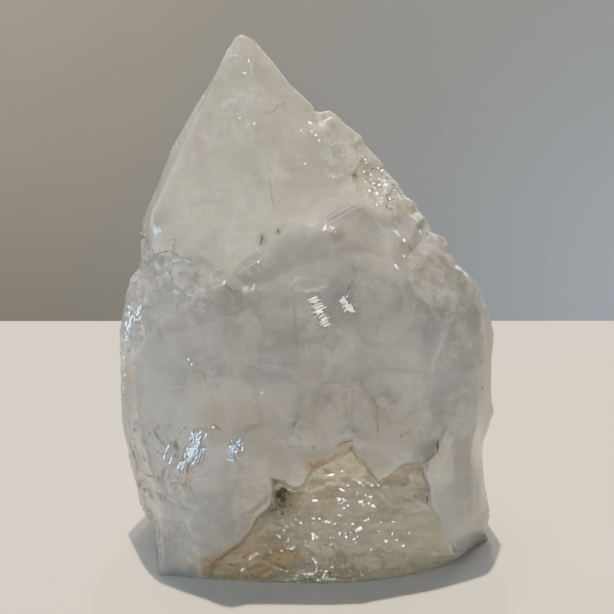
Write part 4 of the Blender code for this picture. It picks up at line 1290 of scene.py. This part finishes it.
# hairlines on the sides and back
hair, rims = [], []
for look in LOOKS[1:]:
    for _ in range(9):
        spot = np.array((190 + 230 * DICE.rand(), 130 + 410 * DICE.rand()))
        heading = DICE.rand() * 6.28
        line = [spot]
        for _ in range(DICE.randint(4, 12)):
            heading += DICE.normal(0, 0.45)
            spot = spot + 6.5 * np.array((math.cos(heading), math.sin(heading)))
            line.append(spot)
        (hair if DICE.rand() < 0.5 else rims).append((line, 0.08 + 0.16 * DICE.rand(), look))
ribbons("hairlines_dark", hair, simple("hair_dark", (0.22, 0.20, 0.18), 0.5), lift=0.01)
ribbons("hairlines_pale", rims, simple("hair_pale", (0.74, 0.75, 0.74), 0.3), lift=0.01)
grit = []
for look in LOOKS[1:]:
    for _ in range(5):
        across, down = 190 + 230 * DICE.rand(), 250 + 320 * DICE.rand()
        for _ in range(DICE.randint(6, 26)):
            grit.append((
                across + DICE.normal(0, 6), down + DICE.normal(0, 9),
                0.12 + 0.5 * DICE.rand() ** 2, look,
            ))
grains("grit", grit, simple("grit_brown", (0.27, 0.19, 0.11), 0.8))


# ---------------------------------------------------------------- veils and feathers inside
def within(q):
    """Whether a point lies inside the skin, seen both ways."""
    for way in (Vector((0.31, 0.17, 0.93)), Vector((-0.62, 0.71, -0.33))):
        spot, normal, _, _ = TREE.ray_cast(Vector(q), way)
        if spot is None or normal.dot(way) < 0:
            return False
    return True


def veil(
    points, faces, across, down, depth, tilt, turn, wide, tall, count, size, salt,
    look=FRONT_LOOK,
):
    """A healed crack: a sheet of tiny plates that lie nearly flat in it."""
    p, n = landing(across, down, look)
    if p is None:
        return
    middle = p - n * depth * MM
    face = unit(
        (
            math.sin(math.radians(turn)) * math.cos(math.radians(tilt)),
            -math.cos(math.radians(turn)) * math.cos(math.radians(tilt)),
            math.sin(math.radians(tilt)),
        )
    )
    face = look.turn @ face
    x = unit(np.cross(face, (0.1, 0.0, 1.0)))
    y = np.cross(face, x)
    uv = DICE.normal(0, 0.42, (count * 3, 2))
    uv = uv[(np.hypot(*uv.T) < 1.0)]
    at = middle + (uv[:, :1] * wide * x + uv[:, 1:] * tall * y) * MM
    at = at + face * (layers(at, 0.012, 2, salt) * 1.6 * MM)[:, None]
    keep = layers(at, 0.004, 3, salt + 50) > -0.08
    for q in at[keep][:count]:
        near, normal, _, _ = TREE.find_nearest(Vector(q))
        if (Vector(q) - near).dot(normal) > -0.0006 or not within(q):
            continue
        r = size * (0.4 + DICE.rand()) * 0.5 * MM
        f = unit(face + DICE.normal(0, 0.25, 3))
        a = unit(np.cross(f, DICE.normal(0, 1, 3)))
        b = np.cross(f, a)
        first = len(points)
        for k in range(3):
            angle = 2.094 * k + DICE.rand() * 0.8
            points.append(q + (a * math.cos(angle) + b * math.sin(angle)) * r)
        points.append(q + f * r * 0.18)
        faces += [
            (first, first + 2, first + 1), (first, first + 1, first + 3),
            (first + 1, first + 2, first + 3), (first + 2, first, first + 3),
        ]


points, faces = [], []
for row in [
    # across, down, depth, tilt, turn, wide, tall, how many, plate size, salt
    (215, 170, 3.0, 30, -30, 9, 14, 1300, 0.50, 300), (250, 110, 2.5, 20, 30, 6, 10, 900, 0.44, 310),
    (300, 190, 3.5, 40, 10, 10, 8, 1200, 0.50, 320), (200, 240, 3.0, 35, -10, 10, 6, 1200, 0.50, 330),
    (230, 320, 3.0, 5, -40, 8, 12, 1200, 0.56, 340), (272, 350, 4.0, 10, 20, 8, 11, 1200, 0.56, 350),
    (330, 300, 5.0, 0, -20, 10, 9, 1100, 0.50, 360), (410, 300, 3.0, 10, 30, 11, 9, 1500, 0.52, 370),
    (400, 400, 4.0, 30, 10, 13, 9, 1200, 0.52, 380), (450, 370, 3.0, 0, 60, 7, 12, 1100, 0.50, 390),
    (190, 375, 2.0, 10, -30, 9, 9, 1500, 0.52, 400), (170, 440, 2.0, 0, -60, 8, 12, 1500, 0.56, 410),
    (230, 480, 2.5, 10, -20, 9, 12, 1500, 0.52, 420), (200, 520, 2.0, 20, -30, 11, 8, 1400, 0.52, 430),
    (320, 420, 3.0, 0, 10, 9, 9, 1100, 0.50, 440), (460, 500, 2.0, 10, 30, 6, 10, 1200, 0.50, 450),
    (340, 530, 2.5, 30, 0, 14, 7, 1300, 0.50, 460), (150, 320, 1.6, 0, -70, 5, 12, 1400, 0.52, 470),
    (375, 185, 1.6, 40, 40, 9, 6, 1200, 0.40, 480), (440, 270, 2.0, 20, 50, 7, 6, 1000, 0.5, 490),
]:
    veil(points, faces, *row)
for number, look in enumerate(LOOKS[1:]):
    for turn in range(8):
        veil(
            points, faces, 200 + 210 * DICE.rand(), 140 + 390 * DICE.rand(),
            2.0 + 2.5 * DICE.rand(), DICE.normal(5, 25), DICE.normal(0, 35),
            6 + 7 * DICE.rand(), 6 + 9 * DICE.rand(), 1100, 0.56,
            600 + 40 * number + 4 * turn, look,
        )
piece_of("healed_veils", points, faces, simple("veil_white", (0.92, 0.93, 0.94), 0.35, 0.0, 0.1))

# ---------------------------------------------------------------- stage
def plain(name, colour, roughness=0.6):
    material = bpy.data.materials.new(name)
    material.use_nodes = True
    shader = material.node_tree.nodes["Principled BSDF"]
    shader.inputs["Base Color"].default_value = (*colour, 1)
    shader.inputs["Roughness"].default_value = roughness
    return material


def panel(name, corners, material):
    data = bpy.data.meshes.new(name)
    data.from_pydata(corners, [], [(0, 1, 2, 3)])
    piece = bpy.data.objects.new(name, data)
    SCENE.collection.objects.link(piece)
    data.materials.append(material)
    return piece


panel(
    "table_top",
    [(-2, -2, -0.0003), (2, -2, -0.0003), (2, 0.164, -0.0003), (-2, 0.157, -0.0003)],
    plain("table_paint", (0.765, 0.72, 0.655), 0.6),
)
panel(
    "far_wall",
    [(-4, 0.9, -1.5), (4, 0.9, -1.5), (4, 0.9, 2.5), (-4, 0.9, 2.5)],
    plain("wall_paint", (0.231, 0.242, 0.237), 0.9),
)

world = bpy.data.worlds.new("room")
SCENE.world = world
world.use_nodes = True
world.node_tree.nodes["Background"].inputs["Color"].default_value = (0.49, 0.58, 0.76, 1)
world.node_tree.nodes["Background"].inputs["Strength"].default_value = 0.15


def lamp(name, place, aim, power, wide, high=None, colour=(1, 1, 1)):
    data = bpy.data.lights.new(name, "AREA")
    data.shape = "RECTANGLE"
    data.size, data.size_y = wide, high or wide
    data.energy = power
    data.color = colour
    piece = bpy.data.objects.new(name, data)
    SCENE.collection.objects.link(piece)
    piece.location = place
    piece.rotation_euler = (Vector(aim) - Vector(place)).to_track_quat("-Z", "Y").to_euler()
    return piece


lamp("overhead", (-0.10, 0.10, 0.62), (0, 0, 0.03), 0.6, 0.16, 0.16, (1.0, 0.965, 0.92))
lamp("high_key", (-0.06, 0.10, 1.50), (0, 0, 0.03), 35.0, 0.022, 0.022, (1.0, 0.83, 0.57))
lamp("behind_high", (0.02, 0.42, 0.80), (0, 0, 0.03), 1.6, 0.035, 0.035, (1.0, 0.90, 0.78))
lamp("left_soft", (-0.7, -0.35, 0.5), (0, 0, 0.06), 0.2, 0.5, 0.5, (0.90, 0.95, 1.0))
lamp("front_soft", (0.35, -0.8, 0.45), (0, 0, 0.06), 0.20, 0.5, 0.5, (1.0, 0.97, 0.92))
lamp("front_warm", WARM_LAMP, (0, 0, 0.05), 0.66, 0.028, 0.028, (1.0, 0.92, 0.78))
lamp("left_cool", COOL_LAMP, (0, 0, 0.05), 1.5, 0.03, 0.05, (0.40, 0.71, 1.0))
lamp("back_small", (0.25, 0.65, 0.35), (0, 0, 0.05), 0.15, 0.05, 0.05, (1.0, 0.96, 0.9))
lamp("back_left_soft", (-0.45, 0.90, 0.40), (0, 0, 0.07), 3.2, 0.35, 0.5, (0.97, 0.98, 1.0))
lamp("back_right_soft", (0.55, 0.80, 0.42), (0, 0, 0.07), 2.2, 0.22, 0.40, (0.97, 0.98, 1.0))
lamp("wall_warm", (-0.55, 0.40, 0.24), (-0.50, 0.9, 0.20), 4.2, 0.4, 0.4, (1.0, 0.72, 0.42))
lamp("wall_cool", (0.48, 0.48, -0.28), (0.44, 0.9, -0.26), 3.5, 0.4, 0.3, (0.66, 0.80, 1.0))

camera_data = bpy.data.cameras.new("view")
camera = bpy.data.objects.new("view", camera_data)
SCENE.collection.objects.link(camera)
SCENE.camera = camera
camera_data.sensor_width = camera_data.sensor_height = 36.0
camera_data.lens = 36.0 * EYE_UNITS / 614.0
camera_data.clip_start = 0.01
camera.location = Vector(EYE)
camera.rotation_euler = Vector(FRONT_LOOK.ahead).to_track_quat("-Z", "Y").to_euler()

bpy.context.view_layer.update()
